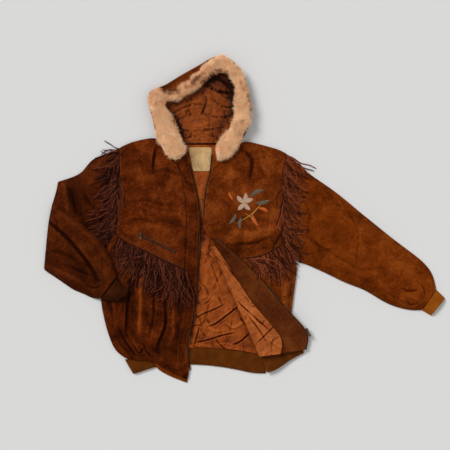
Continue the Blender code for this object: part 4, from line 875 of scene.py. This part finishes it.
# %% [markdown]
# ## Ribbed knit
# Cuffs and waistband are knitted in ribs that run across the band. Each point stores how many ribs
# lie before it, and the finish turns that number into ridges, painted lighter on top and darker
# between them: a painted highlight and a painted shade.

# %% Cuffs and waistband
RIB_PITCH = 4.6 * MM
RIB_RISE = 0.25 * MM
TUCK = 3.2


def tuck(piece, rows, reach, seam=4.0):
    """Moves a rim up under the hem it is sewn to, so that no slit is left along the seam."""
    co = points_of(piece)
    share = np.clip(1.6 - nearest_on(co[:, :2], spots(rows))[0] / (seam * MM), 0, 1)
    co[:, 1] += reach * MM * share
    co[:, 2] = np.maximum(co[:, 2] - 0.8 * MM * share * (co[:, 2] > 1.5 * MM), 0.0)
    piece.data.vertices.foreach_set("co", co.ravel())


HEM_LINE = ((126, 364), (150, 353), (187, 349.9), (205, 350), (220, 350.9), (235, 353), (250, 355.4), (258, 357.5),
            (270, 361))
TURNED_HEM = ((262, 358), (276, 357), (290, 354.3), (300, 352.2), (306, 351))
BACK_SEAMS = ((HEM_LINE, TUCK), (((252, 355.5), (265, 359)), 2.6))
TURNED_SEAMS = ((TURNED_HEM, TUCK), (((262, 357.5), (277, 356.5)), 3.8))


def ribbed(node, name, start, end, material, waves=(), seam=()):
    """Ribs are counted along the line from start to end, which runs along the band."""
    piece = refined(node, name, 3)
    for rows, reach in seam:
        tuck(piece, rows, reach)
    line = curve_through(spots((start, *waves, end)), 6)
    co = points_of(piece)
    share = nearest_on(co[:, :2], line)[1]
    count = np.interp(share * (len(line) - 1), np.arange(len(line)), run_of(line)) / RIB_PITCH
    co[:, 2] += RIB_RISE * np.sin(count * 2 * math.pi) * (co[:, 2] > 2.0 * MM)
    piece.data.vertices.foreach_set("co", co.ravel())
    store(piece, "rib", count)
    store(piece, "shade", wander(co[:, :2], 0.03, 7) * 0.2)
    dress(piece, material, node)
    return piece


ribbed("cuff_left", "left_cuff", (431.8, 316), (446, 298.3), rib_knit_warm)
cuff_right = ribbed("cuff_right", "right_cuff", (121.5, 301), (130.6, 290.8), rib_knit_dark)
ribbed("waistband_back", "back_waistband", (126, 371), (266, 374), rib_knit,
       ((155, 368), (190, 365), (225, 368)), BACK_SEAMS)
ribbed("waistband_front_right", "right_front_band", (130, 370), (153.5, 368), rib_knit)
ribbed("waistband_front_left", "left_front_band", (269, 372.6), (304.2, 353.6), rib_knit,
       ((286, 363.5),), TURNED_SEAMS)
# The mouth of the right cuff is painted darker: a painted shade in its opening.
store(cuff_right, "shade", shading(cuff_right, [(-1.0, 6, ((121, 300), (127, 297), (130, 291)))],
                                   wander(points_of(cuff_right)[:, :2], 0.03, 7) * 0.2))
hem_tab = refined("hem_tab_right", "right_hem_tab", 3)
tuck(hem_tab, ((150, 363), (157, 366), (172, 373), (187, 380)), TUCK)
sew(hem_tab, "hem_tab_right", suede_warm, (0.11, 0.03), 0.0014, share=0.0)
print("ribs counted at", RIB_PITCH * 1000, "mm")

# %% [markdown]
# ## What lies on top
# Strands, teeth, stitches and petals lie on the cloth, so each asks how high the cloth is below it.
# A ray sent straight down on the finished pieces answers that.

# %% Height of the cloth
on_top_of = {}


def prepare(*cloths):
    bpy.context.view_layer.update()
    for cloth in cloths:
        on_top_of[cloth.name] = tree_of(cloth)


def cloth_height(x, y, names, default=0.0):
    best = default
    for name in names:
        hit = on_top_of[name].ray_cast(Vector((x, y, 1.0)), Vector((0, 0, -1)))[0]
        if hit is not None:
            best = max(best, hit.z)
    return best


def roof_height(x, y, z, names):
    """The lowest cloth over a point, or a large number."""
    best = 9.0
    for name in names:
        hit = on_top_of[name].ray_cast(Vector((x, y, z)), Vector((0, 0, 1)))[0]
        if hit is not None:
            best = min(best, hit.z)
    return best


def mesh_piece(name, points, faces, shades=None, ribs=None):
    mesh = bpy.data.meshes.new(name)
    mesh.from_pydata([tuple(p) for p in points], [], faces)
    mesh.update()
    piece = bpy.data.objects.new(name, mesh)
    bpy.context.scene.collection.objects.link(piece)
    if shades is not None:
        store(piece, "shade", shades)
    if ribs is not None:
        store(piece, "rib", ribs)
    return piece


def face_out(piece, upward=False):
    """Turns all faces outward, or those of an open patch upward."""
    bm = bmesh.new()
    bm.from_mesh(piece.data)
    bmesh.ops.recalc_face_normals(bm, faces=bm.faces)
    for face in bm.faces:
        if upward and face.normal.z < 0:
            face.normal_flip()
    bm.to_mesh(piece.data)
    bm.free()


prepare(front_right, yoke_right, front_left, yoke_left, sleeve_left, sleeve_upper, forearm, cuff_right,
        lining_left, facing_left, back_lining, hood_lining, back)
print("heights can be asked of", len(on_top_of), "pieces")

# %% [markdown]
# ## Fringe
# Each fringe is cut from one strip of suede: its strands are about 3 mm wide, and they curl, twist
# and cross, since nothing holds their tips. A strand follows a heading and a length taken from a
# short table, and it lies on whatever is under it, some in a second layer.

# %% Strands
STRANDS = (146, 130, 160, 84)
STRAND_HALF = 1.6 * MM
STRAND_THICK = 1.1 * MM
RINGS = 11
LOOSE = 12.0 * 0.62  # spread of the strands' headings in degrees


def ring_faces(a):
    """The four sides between a ring of four points and the next one."""
    return [(a + c, a + (c + 1) % 4, a + 4 + (c + 1) % 4, a + 4 + c) for c in range(4)]


def strand_path(root, heading, length, curl, wobble, turn):
    angle = math.radians(heading)
    step = length / RINGS
    phase, swings = turn.uniform(0, 6.3), turn.uniform(0.8, 2.0)
    spot = np.array(root, float)
    path = [spot.copy()]
    angles = [angle]
    for k in range(RINGS):
        bend = math.radians(curl) / RINGS + math.radians(wobble) * math.sin(phase + swings * 6.28 * k / RINGS) / 3
        angle += bend
        spot = spot + step * np.array([math.cos(angle), math.sin(angle)])
        path.append(spot.copy())
        angles.append(angle)
    return np.array(path), angles


def fringe(node, name, edge_rows, count, table, under, roof=(), seed=1, ends=(0.0, 1.0), material=fringe_suede):
    """Table rows: share along the edge, heading in degrees, length in millimetres."""
    turn = np.random.default_rng(seed)
    line = curve_through(spots(edge_rows), 8)
    run = run_of(line)
    facts = np.array(table, float)
    middle = math.radians(facts[len(facts) // 2, 1])
    toward = np.array([math.cos(middle), math.sin(middle)])
    points, faces, shades = [], [], []
    strip = []
    for k in range(count + 1):
        want = (ends[0] + (ends[1] - ends[0]) * k / count) * run[-1]
        spot = spot_at(line, run, want)
        near, far = spot + toward * 0.4 * MM, spot + toward * 4.4 * MM
        low = max(cloth_height(*near, under), cloth_height(*far, under)) + 0.3 * MM
        strip.append((near, far, low))
    for k, (near, far, low) in enumerate(strip):
        points += [(*near, low), (*far, low), (*far, low + 1.6 * MM), (*near, low + 1.6 * MM)]
        shades += [-0.3] * 4
        if k:
            faces += ring_faces(4 * (k - 1))
    faces.append((3, 2, 1, 0))
    last = 4 * count
    faces.append((last, last + 1, last + 2, last + 3))
    for strand in range(count):
        share = (strand + turn.uniform(0.1, 0.9)) / count
        heading = np.interp(share, facts[:, 0], facts[:, 1]) + turn.normal(0, LOOSE)
        length = np.interp(share, facts[:, 0], facts[:, 2]) * MM * turn.uniform(0.74, 1.06)
        want = (ends[0] + (ends[1] - ends[0]) * share) * run[-1]
        root = spot_at(line, run, want) + toward * 2.0 * MM
        path, angles = strand_path(root, heading, length, turn.normal(0, 26), turn.uniform(12, 50), turn)
        layer = turn.uniform(0.2, 4.6) * MM
        spin, spin_speed = turn.uniform(-0.5, 0.5), turn.normal(0, 1.1)
        tone = turn.uniform(-0.9, 0.42)
        first = len(points)
        before = None
        for k, (spot, angle) in enumerate(zip(path, angles)):
            share_out = k / RINGS
            twist = spin + spin_speed * share_out
            half = STRAND_HALF * (1.0 - 0.25 * share_out)
            across = np.array([-math.sin(angle), math.cos(angle)])
            ground = max(cloth_height(*spot, under), cloth_height(*(spot + across * half), under),
                         cloth_height(*(spot - across * half), under))
            tilt = min(abs(math.sin(twist)), 0.85)
            grow = min(share_out * 3.0, 1.0)
            z = ground + 0.9 * MM + layer * grow * (1 - 0.35 * share_out) + half * tilt * grow
            if before is not None:
                z = max(z, before - 5.0 * MM)
            if roof:
                top = roof_height(*spot, ground + 0.05 * MM, roof)
                if top < ground + 9 * MM:
                    tilt *= 0.2
                z = max(min(z, top - 1.3 * MM), ground + 0.7 * MM)
            before = z
            side = np.array([*(across * math.sqrt(1 - tilt ** 2) * half), math.copysign(tilt, twist) * half])
            up = np.array([*(-across * math.copysign(tilt, twist)), math.sqrt(1 - tilt ** 2)]) * STRAND_THICK / 2
            centre = np.array([*spot, z])
            points += [centre - side - up, centre + side - up, centre + side + up, centre - side + up]
            # Strands grow paler towards the tip; the lower side of each is painted darker and the upper side lighter, a
            # painted shade and painted highlight.
            edge_tone = tone + 0.35 * share_out
            shades += [edge_tone - 0.35, edge_tone - 0.35, edge_tone + 0.1, edge_tone + 0.1]
            if k:
                faces += ring_faces(first + 4 * (k - 1))
        faces.append((first + 3, first + 2, first + 1, first))
        end = len(points) - 4
        faces.append((end, end + 1, end + 2, end + 3))
    piece = mesh_piece(name, points, faces, shades)
    face_out(piece)
    return dress(piece, material, node)


ARMHOLE_RIGHT = ((119, 148), (120, 165), (121, 185), (120, 205), (118, 222), (116, 234))
ARMHOLE_LEFT = ((287, 154), (283.5, 162), (281.5, 176), (280.6, 192), (280.6, 213), (281.2, 226), (282.5, 243.5))
YOKE_EDGE_RIGHT = ((116, 234), (125, 241), (139, 247.5), (150, 252.5), (160, 258), (169, 262), (180, 267),
                   (187, 269.8))
YOKE_EDGE_LEFT = ((246, 257.9), (257, 256), (269, 252), (282.5, 243.5))
fringe_a = fringe("fringe_armhole_right", "right_armhole_fringe", ARMHOLE_RIGHT, STRANDS[0],
                  ((0, 180, 50), (0.04, 215, 70), (0.1, 240, 92), (0.5, 236, 104), (0.72, 216, 104),
                   (0.86, 202, 96), (1, 204, 80)),
                  ["right_front", "right_sleeve_upper", "back_panel"],
                  ["right_sleeve_forearm", "right_cuff"], seed=3)
fringe_b = fringe("fringe_armhole_left", "left_armhole_fringe", ARMHOLE_LEFT, STRANDS[1],
                  ((0, 333, 92), (0.07, 318, 92), (0.16, 305, 98), (0.5, 309, 100), (1, 309, 94)),
                  ["left_front", "left_sleeve", "back_panel"], seed=4, material=fringe_warm)
fringe_c = fringe("fringe_yoke_right", "right_yoke_fringe", YOKE_EDGE_RIGHT, STRANDS[2],
                  ((0, 262, 72), (0.1, 264, 92), (0.3, 262, 110), (0.6, 264, 116), (0.85, 269, 128), (1, 272, 134)),
                  ["right_front", "back_panel"], ["right_sleeve_forearm"], seed=5, ends=(0.02, 1.0))
fringe_d = fringe("fringe_yoke_left", "left_yoke_fringe", YOKE_EDGE_LEFT, STRANDS[3],
                  ((0, 318, 62), (0.4, 306, 92), (0.75, 296, 104), (1, 292, 100)),
                  ["left_front", "left_facing", "back_panel"], seed=6, material=fringe_warm)
print("strands:", sum(STRANDS))

# %% [markdown]
# ## Fur round the hood
# Fur is far too fine to model hair by hair. A soft core carries thousands of thin blades that lean
# the way the pile lies. Tips are paler than roots, tufts differ a little, and a table of soiled
# places darkens some of the edges. Blades high on the roll are painted lighter and those low on it
# darker, a painted highlight and painted shade, and blades near the floor are darker still.

# %% Fur core and blades
CORE_INSET = 5.0 * MM
BLADES = 30000
BLADE_LONG, BLADE_WIDE = (6.0, 12.5), (0.5, 0.95)  # least and most, in millimetres
BLADE_FLOOR = 0.4 * MM
UNDERSIDE = -0.45  # faces that point further down than this carry no blades
fur_core = refined("fur_trim", "fur_core", 2)
core_co = points_of(fur_core)
core_normals = np.zeros(len(core_co) * 3)
fur_core.data.vertices.foreach_get("normal", core_normals)
core_normals = core_normals.reshape(-1, 3)
tuft = wander(core_co[:, :2] + core_co[:, 2:3] * 0.7, 0.021, 61)
core_co = core_co - core_normals * (CORE_INSET - 1.1 * MM * tuft[:, None])
core_co[:, 2] = np.maximum(core_co[:, 2], 1.0 * MM)
fur_core.data.vertices.foreach_set("co", core_co.ravel())
fur_core.data.update()
store(fur_core, "shade", np.clip(0.35 + 0.2 * tuft, -1, 1))

fur_pile = finish_material("fur_pile", ((112, 50, 18), (254, 185, 127), (255, 221, 180)), 0.9, patch=16.0,
                           blotch=70.0, contrast=1.2, grain=1500.0, grain_depth=0.3, specular=0.1, shade_share=0.9,
                           sheen=0.15, sheen_tint=(1.0, 0.8, 0.55))
turn = np.random.default_rng(77)
fur_core.data.calc_loop_triangles()
corners = np.zeros(len(fur_core.data.loop_triangles) * 3, int)
fur_core.data.loop_triangles.foreach_get("vertices", corners)
corners = corners.reshape(-1, 3)
a, b, c = (core_co[corners[:, k]] for k in range(3))
cross = np.cross(b - a, c - a)
area = np.linalg.norm(cross, axis=1)
facing = cross / np.maximum(area, 1e-12)[:, None]
weight = area * (facing[:, 2] > UNDERSIDE)
pick = turn.choice(len(area), BLADES, p=weight / weight.sum())
u, v = turn.random(BLADES), turn.random(BLADES)
swap = u + v > 1
u, v = np.where(swap, 1 - u, u), np.where(swap, 1 - v, v)
roots = a[pick] + (b - a)[pick] * u[:, None] + (c - a)[pick] * v[:, None]
out = facing[pick]
drift = np.stack([wander(roots[:, :2], 0.045, 62), wander(roots[:, :2], 0.045, 63), np.zeros(BLADES)], 1)
jitter = turn.normal(0, 0.33, (BLADES, 3))
lean = out * 0.5 + drift * 0.7 + jitter
lean /= np.linalg.norm(lean, axis=1)[:, None]
length = turn.uniform(*BLADE_LONG, BLADES)[:, None] * MM
width = turn.uniform(*BLADE_WIDE, BLADES)[:, None] * MM
side = np.cross(lean, out + turn.normal(0, 0.5, (BLADES, 3)))
side /= np.linalg.norm(side, axis=1)[:, None]
side = np.where(np.cross(side, lean)[:, 2:3] < 0, -side, side)
droop = (drift * 0.5 + turn.normal(0, 0.25, (BLADES, 3))) * length * 0.35
middle = roots + lean * length * 0.55 + droop * 0.3
tip = roots + lean * length + droop
tip[:, 2] = np.maximum(tip[:, 2], BLADE_FLOOR)
middle[:, 2] = np.maximum(middle[:, 2], BLADE_FLOOR)
blade_points = np.stack([roots - side * width / 2, roots + side * width / 2, middle + side * width * 0.42,
                         middle - side * width * 0.42, tip], 1).reshape(-1, 3)
faces = []
for k in range(BLADES):
    s = 5 * k
    faces += [(s, s + 1, s + 2, s + 3), (s + 3, s + 2, s + 4)]
tuft = wander(roots[:, :2], 0.03, 64) * 0.16 + wander(roots[:, :2], 0.011, 65) * 0.18
# Blades high on the roll are lighter and those low on it darker: a painted highlight and painted shade.
height_share = np.clip((roots[:, 2] - 0.018) / 0.02, -1, 1)
base_tone = tuft + 0.3 * height_share + turn.normal(0, 0.12, BLADES)
SOILED = (
    (((160, 88), (168, 92), (182, 91)), 0.9, 11), (((180, 92), (192, 84), (202, 75), (213, 67)), 0.7, 7),
    (((172, 107), (188, 97), (200, 89), (208, 84)), 0.5, 6), (((198, 82), (210, 76), (221, 71), (230, 79)), 0.8, 8),
    (((229, 78), (235, 92), (235, 108)), 0.5, 6), (((238, 78), (247, 96), (251, 112), (250, 128), (242, 138)), 0.6, 6),
    (((147, 92), (147, 104), (151, 120), (158, 140)), 0.55, 6), (((170, 108), (174, 122), (182, 140)), 0.35, 5),
    (((150, 92), (156, 104), (160, 116)), 0.32, 14), (((246, 118), (240, 122), (236, 126)), 0.5, 7))
dirt = relief(roots[:, :2], SOILED) * 1000 * (1.0 + 0.6 * wander(roots[:, :2], 0.009, 66))
# Blades within about 22 mm of the floor get darker the lower they are.
rim_share = np.clip((0.022 - roots[:, 2]) / 0.02, 0, 1)
base_tone = 0.1 + base_tone * 1.5 - np.clip(dirt * 1.5, 0, 1.6) - 0.6 * rim_share
ROOT_TONE, MIDDLE_TONE, TIP_TONE = -0.15, 0.3, 0.55
tones = np.stack([base_tone + step for step in (ROOT_TONE, ROOT_TONE, MIDDLE_TONE, MIDDLE_TONE, TIP_TONE)], 1).ravel()
fur_blades = mesh_piece("fur_blades", blade_points, faces, np.clip(tones, -1.4, 1))
dress(fur_core, fur_pile, "fur_trim")
dress(fur_blades, fur_pile, None)
print("fur blades:", BLADES, "triangles:", BLADES * 3)

# %% [markdown]
# ## Zips
# A zip is two woven tapes with metal teeth on their inner edges. One tooth is modelled from a cube,
# then repeated along each tape at its real pitch.

# %% Tapes
TAPES = {"zip_tape_right": ("right_zip_tape", 0.64), "zip_tape_left": ("left_zip_tape", 0.19),
         "zip_tape_turned": ("turned_zip_tape", 0.45), "pocket_zip": ("pocket_zip_tape", 0.11)}
TAPE_MOVES = {"zip_tape_turned": SLIDER_SIDE,
              "pocket_zip": (((142.5, 236), (144.5, 237)), 8.0, (-0.9, 0.44), 9)}
for node, (name, long) in TAPES.items():
    band = refined(node, name, 2)
    in_yoke = node == "pocket_zip"
    shape_cloth(band, FRONT_RIGHT_CREASES if in_yoke else (), bumps=FRONT_RIGHT_BUMPS if in_yoke else ())
    if node in TAPE_MOVES:
        reach_out(band, *TAPE_MOVES[node])
    dress(band, zip_cloth, node)
    prepare(band)
print("tapes laid")

# %% One tooth, then rows of teeth
TOOTH_PITCH = 3.1 * MM
TOOTH_SIZE = (1.5 * MM, 2.8 * MM, 1.5 * MM)
TOOTH_BEVEL = 0.0003
bpy.ops.object.select_all(action="DESELECT")
bpy.ops.mesh.primitive_cube_add(size=1.0)
tooth = bpy.context.object
tooth.name = "zip_tooth"
tooth.scale = TOOTH_SIZE
bpy.ops.object.transform_apply(location=False, rotation=False, scale=True)
bpy.ops.object.mode_set(mode="EDIT")
bpy.ops.mesh.select_all(action="DESELECT")
bpy.ops.object.mode_set(mode="OBJECT")
for face in tooth.data.polygons:
    face.select = face.normal.z > 0.9
bpy.ops.object.mode_set(mode="EDIT")
bpy.ops.mesh.inset(thickness=TOOTH_BEVEL)
bpy.ops.transform.translate(value=(0, 0, TOOTH_BEVEL))
bpy.ops.object.mode_set(mode="OBJECT")
tooth_points = np.array([v.co[:] for v in tooth.data.vertices])
tooth_faces = [tuple(p.vertices) for p in tooth.data.polygons]
bpy.data.objects.remove(tooth, do_unlink=True)


def place_on(line, run, want, offset):
    """A spot beside a line, with the line's way there and the side that the offset is counted to."""
    spot, ahead = spot_at(line, run, want), spot_at(line, run, want + MM)
    way = (ahead - spot) / max(np.linalg.norm(ahead - spot), 1e-9)
    side = np.array([-way[1], way[0]])
    return spot + side * offset, way, side


def row_of_teeth(name, rows, offset, tape_name):
    line = curve_through(spots(rows), 8)
    run = run_of(line)
    points, faces = [], []
    for k in range(int(run[-1] / TOOTH_PITCH)):
        spot, way, side = place_on(line, run, (k + 0.5) * TOOTH_PITCH, offset)
        z = cloth_height(*spot, [tape_name], -1.0)
        if z < 0:
            continue
        base = len(points)
        for p in tooth_points:
            points.append((*(spot + way * p[0] + side * p[1]), z + 0.5 * MM + p[2]))
        faces += [tuple(base + i for i in f) for f in tooth_faces]
    dress(mesh_piece(name, points, faces), dull_metal, None)
    print(name, "teeth:", len(points) // len(tooth_points))


ZIP_RIGHT = ((186, 151), (189, 164), (192, 175), (196, 191), (198.4, 203), (199.6, 219), (198, 247.5), (197.2, 274),
             (196, 296), (194, 313), (191, 330), (186.5, 347), (188.6, 362), (189.5, 373), (187.5, 380))
ZIP_LEFT = ((212.6, 154), (211, 171.5), (207.4, 184), (205, 200), (204.2, 217))
TURNED_EDGE = ((204.2, 217), (206, 221), (210.6, 228), (218, 238), (228, 248), (237, 256), (250, 268), (263, 281),
               (277, 299), (291, 314.7), (303, 328.5), (308.2, 340), (305, 350))
row_of_teeth("right_zip_teeth", ZIP_RIGHT, 3.4 * MM, "right_zip_tape")
row_of_teeth("left_zip_teeth", ZIP_LEFT, -3.4 * MM, "left_zip_tape")
row_of_teeth("turned_zip_teeth", TURNED_EDGE, 3.4 * MM, "turned_zip_tape")
row_of_teeth("pocket_zip_teeth", ((142.6, 235.9), (175.4, 252.1)), 0.0, "pocket_zip_tape")
for node in ("main_slider", "main_pull", "pocket_slider", "pocket_pull"):
    metal_part = frame["nodes"][node]
    metal_part.data.materials.clear()
    metal_part.data.materials.append(dull_metal)

# %% [markdown]
# ## Label
# The neck label is a plain woven rectangle, left bare, with a folded edge and a line of stitches.

# %% Label
label = refined("neck_label", "neck_label_cloth", 3)
sew(label, "neck_label", label_cloth, (0.072, 0.072), 0.0046, rests_on=[back_lining], slot="label_cloth",
    bumps=[(0.03, 0.3, 81)])
prepare(label)

# %% [markdown]
# ## Stitches
# Suede is sewn with a long stitch, about 4 mm. Each stitch is a small six-sided lens with a ridge on
# top, set along the seam lines at the height of the cloth. Rows of them mark the yoke edges, the
# front edges, the right armhole, the pocket zip and the facing.

# %% Stitch rows
sewing = family(0.7, patch=60.0, blotch=300.0, contrast=1.2, grain=2000.0)
thread = sewing("seam_thread", ((70, 34, 12), (118, 66, 30), (150, 92, 48)))
pale_thread = sewing("pale_thread", ((120, 94, 58), (166, 136, 92), (196, 168, 122)))
STITCH = np.array([(-1.4, 0, 0), (-0.9, 0.36, 0.15), (0.9, 0.36, 0.15), (1.4, 0, 0), (0.9, -0.36, 0.15),
                   (-0.9, -0.36, 0.15), (-0.8, 0, 0.42), (0.8, 0, 0.42), (0, 0, -0.4)]) * MM
STITCH_HALF = 1.3 * MM
STITCH_FACES = ((0, 6, 1), (1, 6, 7, 2), (2, 7, 3), (3, 7, 4), (4, 7, 6, 5), (5, 6, 0), (1, 8, 0), (2, 8, 1), (3, 8, 2),
                (4, 8, 3), (5, 8, 4), (0, 8, 5))


def stitches(name, seams, material, pitch=4.0 * MM):
    points, faces = [], []
    for rows, offset, on in seams:
        line = curve_through(spots(rows), 6)
        run = run_of(line)
        for k in range(int(run[-1] / pitch)):
            spot, way, side = place_on(line, run, (k + 0.5) * pitch, offset)
            heights = [cloth_height(*(spot + way * d), on, -1.0) for d in (-STITCH_HALF, 0.0, STITCH_HALF)]
            if min(heights) < 0 or max(heights) - min(heights) > 3 * MM:
                continue
            base = len(points)
            slope = (heights[2] - heights[0]) / (2 * STITCH_HALF)
            for p in STITCH:
                points.append((*(spot + way * p[0] + side * p[1]), heights[1] + slope * p[0] + p[2] + 0.05 * MM))
            faces += [tuple(base + i for i in f) for f in STITCH_FACES]
    piece = mesh_piece(name, points, faces)
    print(name, "stitches:", len(points) // len(STITCH))
    dress(piece, material, None)


PLACKET = ((172, 153), (180, 176), (187, 204), (188.5, 232), (187, 262), (186, 296), (184, 316), (178, 344),
           (178, 362))
YOKE_SEAM = YOKE_EDGE_RIGHT + ((197.2, 274),)
stitches("yoke_stitches", [
    (YOKE_SEAM, 3.0 * MM, ["right_yoke"]),
    (YOKE_SEAM, 9.0 * MM, ["right_yoke"]),
    (PLACKET, 0.0, ["right_front", "right_yoke"]),
    (ZIP_RIGHT, -3.5 * MM, ["right_front", "right_yoke"]),
    (ZIP_LEFT, 3.5 * MM, ["left_front", "left_yoke"]),
    (YOKE_EDGE_LEFT, 3.0 * MM, ["left_yoke"]),
    (TURNED_EDGE, -3.6 * MM, ["left_facing"]),
    (((144, 234.6), (177, 250.6)), 0.0, ["right_yoke"]),
    (((143, 239.2), (175, 255.2)), 0.0, ["right_yoke"]),
    (ARMHOLE_RIGHT, 3.0 * MM, ["right_yoke"]),
    (((216, 256), (231, 281), (255, 299), (280, 326), (289, 337)), 2.0 * MM, ["left_facing"]),
], thread)
stitches("label_stitches", [
    (((188.8, 148), (193.6, 170.2)), 0.0, ["neck_label_cloth"]),
    (((211.2, 148), (209.4, 170.2)), 0.0, ["neck_label_cloth"]),
    (((193.8, 170), (209.4, 170)), 0.0, ["neck_label_cloth"]),
], pale_thread, 3.2 * MM)

# %% [markdown]
# ## Embroidered sprig
# The left chest carries a small embroidered sprig: five petals, four leaves, three orange buds, and
# a gold centre and stems. Each is a padded patch of satin stitch whose threads run across it.

# %% Petals and leaves
silky = family(0.6, patch=80.0, blotch=300.0, contrast=1.0, grain=2400.0, grain_depth=0.6, rib=True, specular=0.4)
petal_thread = silky("petal_thread", ((150, 112, 88), (206, 170, 146), (232, 204, 184)))
leaf_thread = silky("leaf_thread", ((66, 58, 44), (104, 94, 76), (138, 128, 108)))
orange_thread = silky("orange_thread", ((150, 58, 6), (214, 96, 20), (238, 130, 46)))
gold_thread = silky("gold_thread", ((150, 98, 20), (206, 146, 46), (232, 184, 92)))
ALONG, ACROSS = 16, 6
THREAD_PITCH = 1.1 * MM
PAD_HEIGHT = 0.9 * MM


def sprig_patches(name, material, leaves):
    """Leaves: squares of the base and the tip, a side bend and a width in millimetres."""
    points, faces, count = [], [], []
    for x0, y0, x1, y1, bend, width in leaves:
        base, tip = spots(((x0, y0), (x1, y1)))
        reach = np.linalg.norm(tip - base)
        way = (tip - base) / reach
        side = np.array([-way[1], way[0]])
        first = len(points)
        for i in range(ALONG + 1):
            t = i / ALONG
            half = width / 2 * MM * (math.sin(math.pi * min(max(t, 0.015), 0.985)) ** 0.75)
            centre = base + way * reach * t + side * bend * MM * math.sin(math.pi * t)
            for j in range(ACROSS + 1):
                s = 2 * j / ACROSS - 1
                spot = centre + side * half * s
                z = cloth_height(*spot, ["left_yoke", "left_front"])
                points.append((*spot, z + 0.15 * MM + PAD_HEIGHT * max(1 - s * s, 0) ** 0.5))
                count.append(t * reach / THREAD_PITCH)
        for i in range(ALONG):
            for j in range(ACROSS):
                p = first + i * (ACROSS + 1) + j
                faces.append((p, p + ACROSS + 1, p + ACROSS + 2, p + 1))
    piece = mesh_piece(name, points, faces, ribs=count)
    face_out(piece, upward=True)
    dress(piece, material, None)


sprig_patches("sprig_petals", petal_thread, [
    (244, 203, 237, 196, 1.5, 13), (244, 203, 246, 193, -1.5, 13), (244, 203, 253, 199, 1.5, 13),
    (244, 203, 250, 210, -1.5, 13), (244, 203, 238, 210, 1.5, 13)])
sprig_patches("sprig_leaves", leaf_thread, [
    (250, 197, 264, 190, 5, 12), (255, 203, 270, 200, -4, 11), (236, 214, 229, 224, 3, 10),
    (241, 217, 240, 229, -3, 10)])
sprig_patches("sprig_berries", orange_thread, [
    (258, 208, 268, 212, 3, 9), (252, 214, 258, 226, -3, 10), (233, 200, 229, 192, 2, 7)])
sprig_patches("sprig_stem", gold_thread, [
    (238, 222, 262, 202, -8, 3.2), (241.5, 204.5, 246.5, 201.5, 0, 8), (244, 213, 254, 222, 4, 2.6)])
print("sprig sewn on")
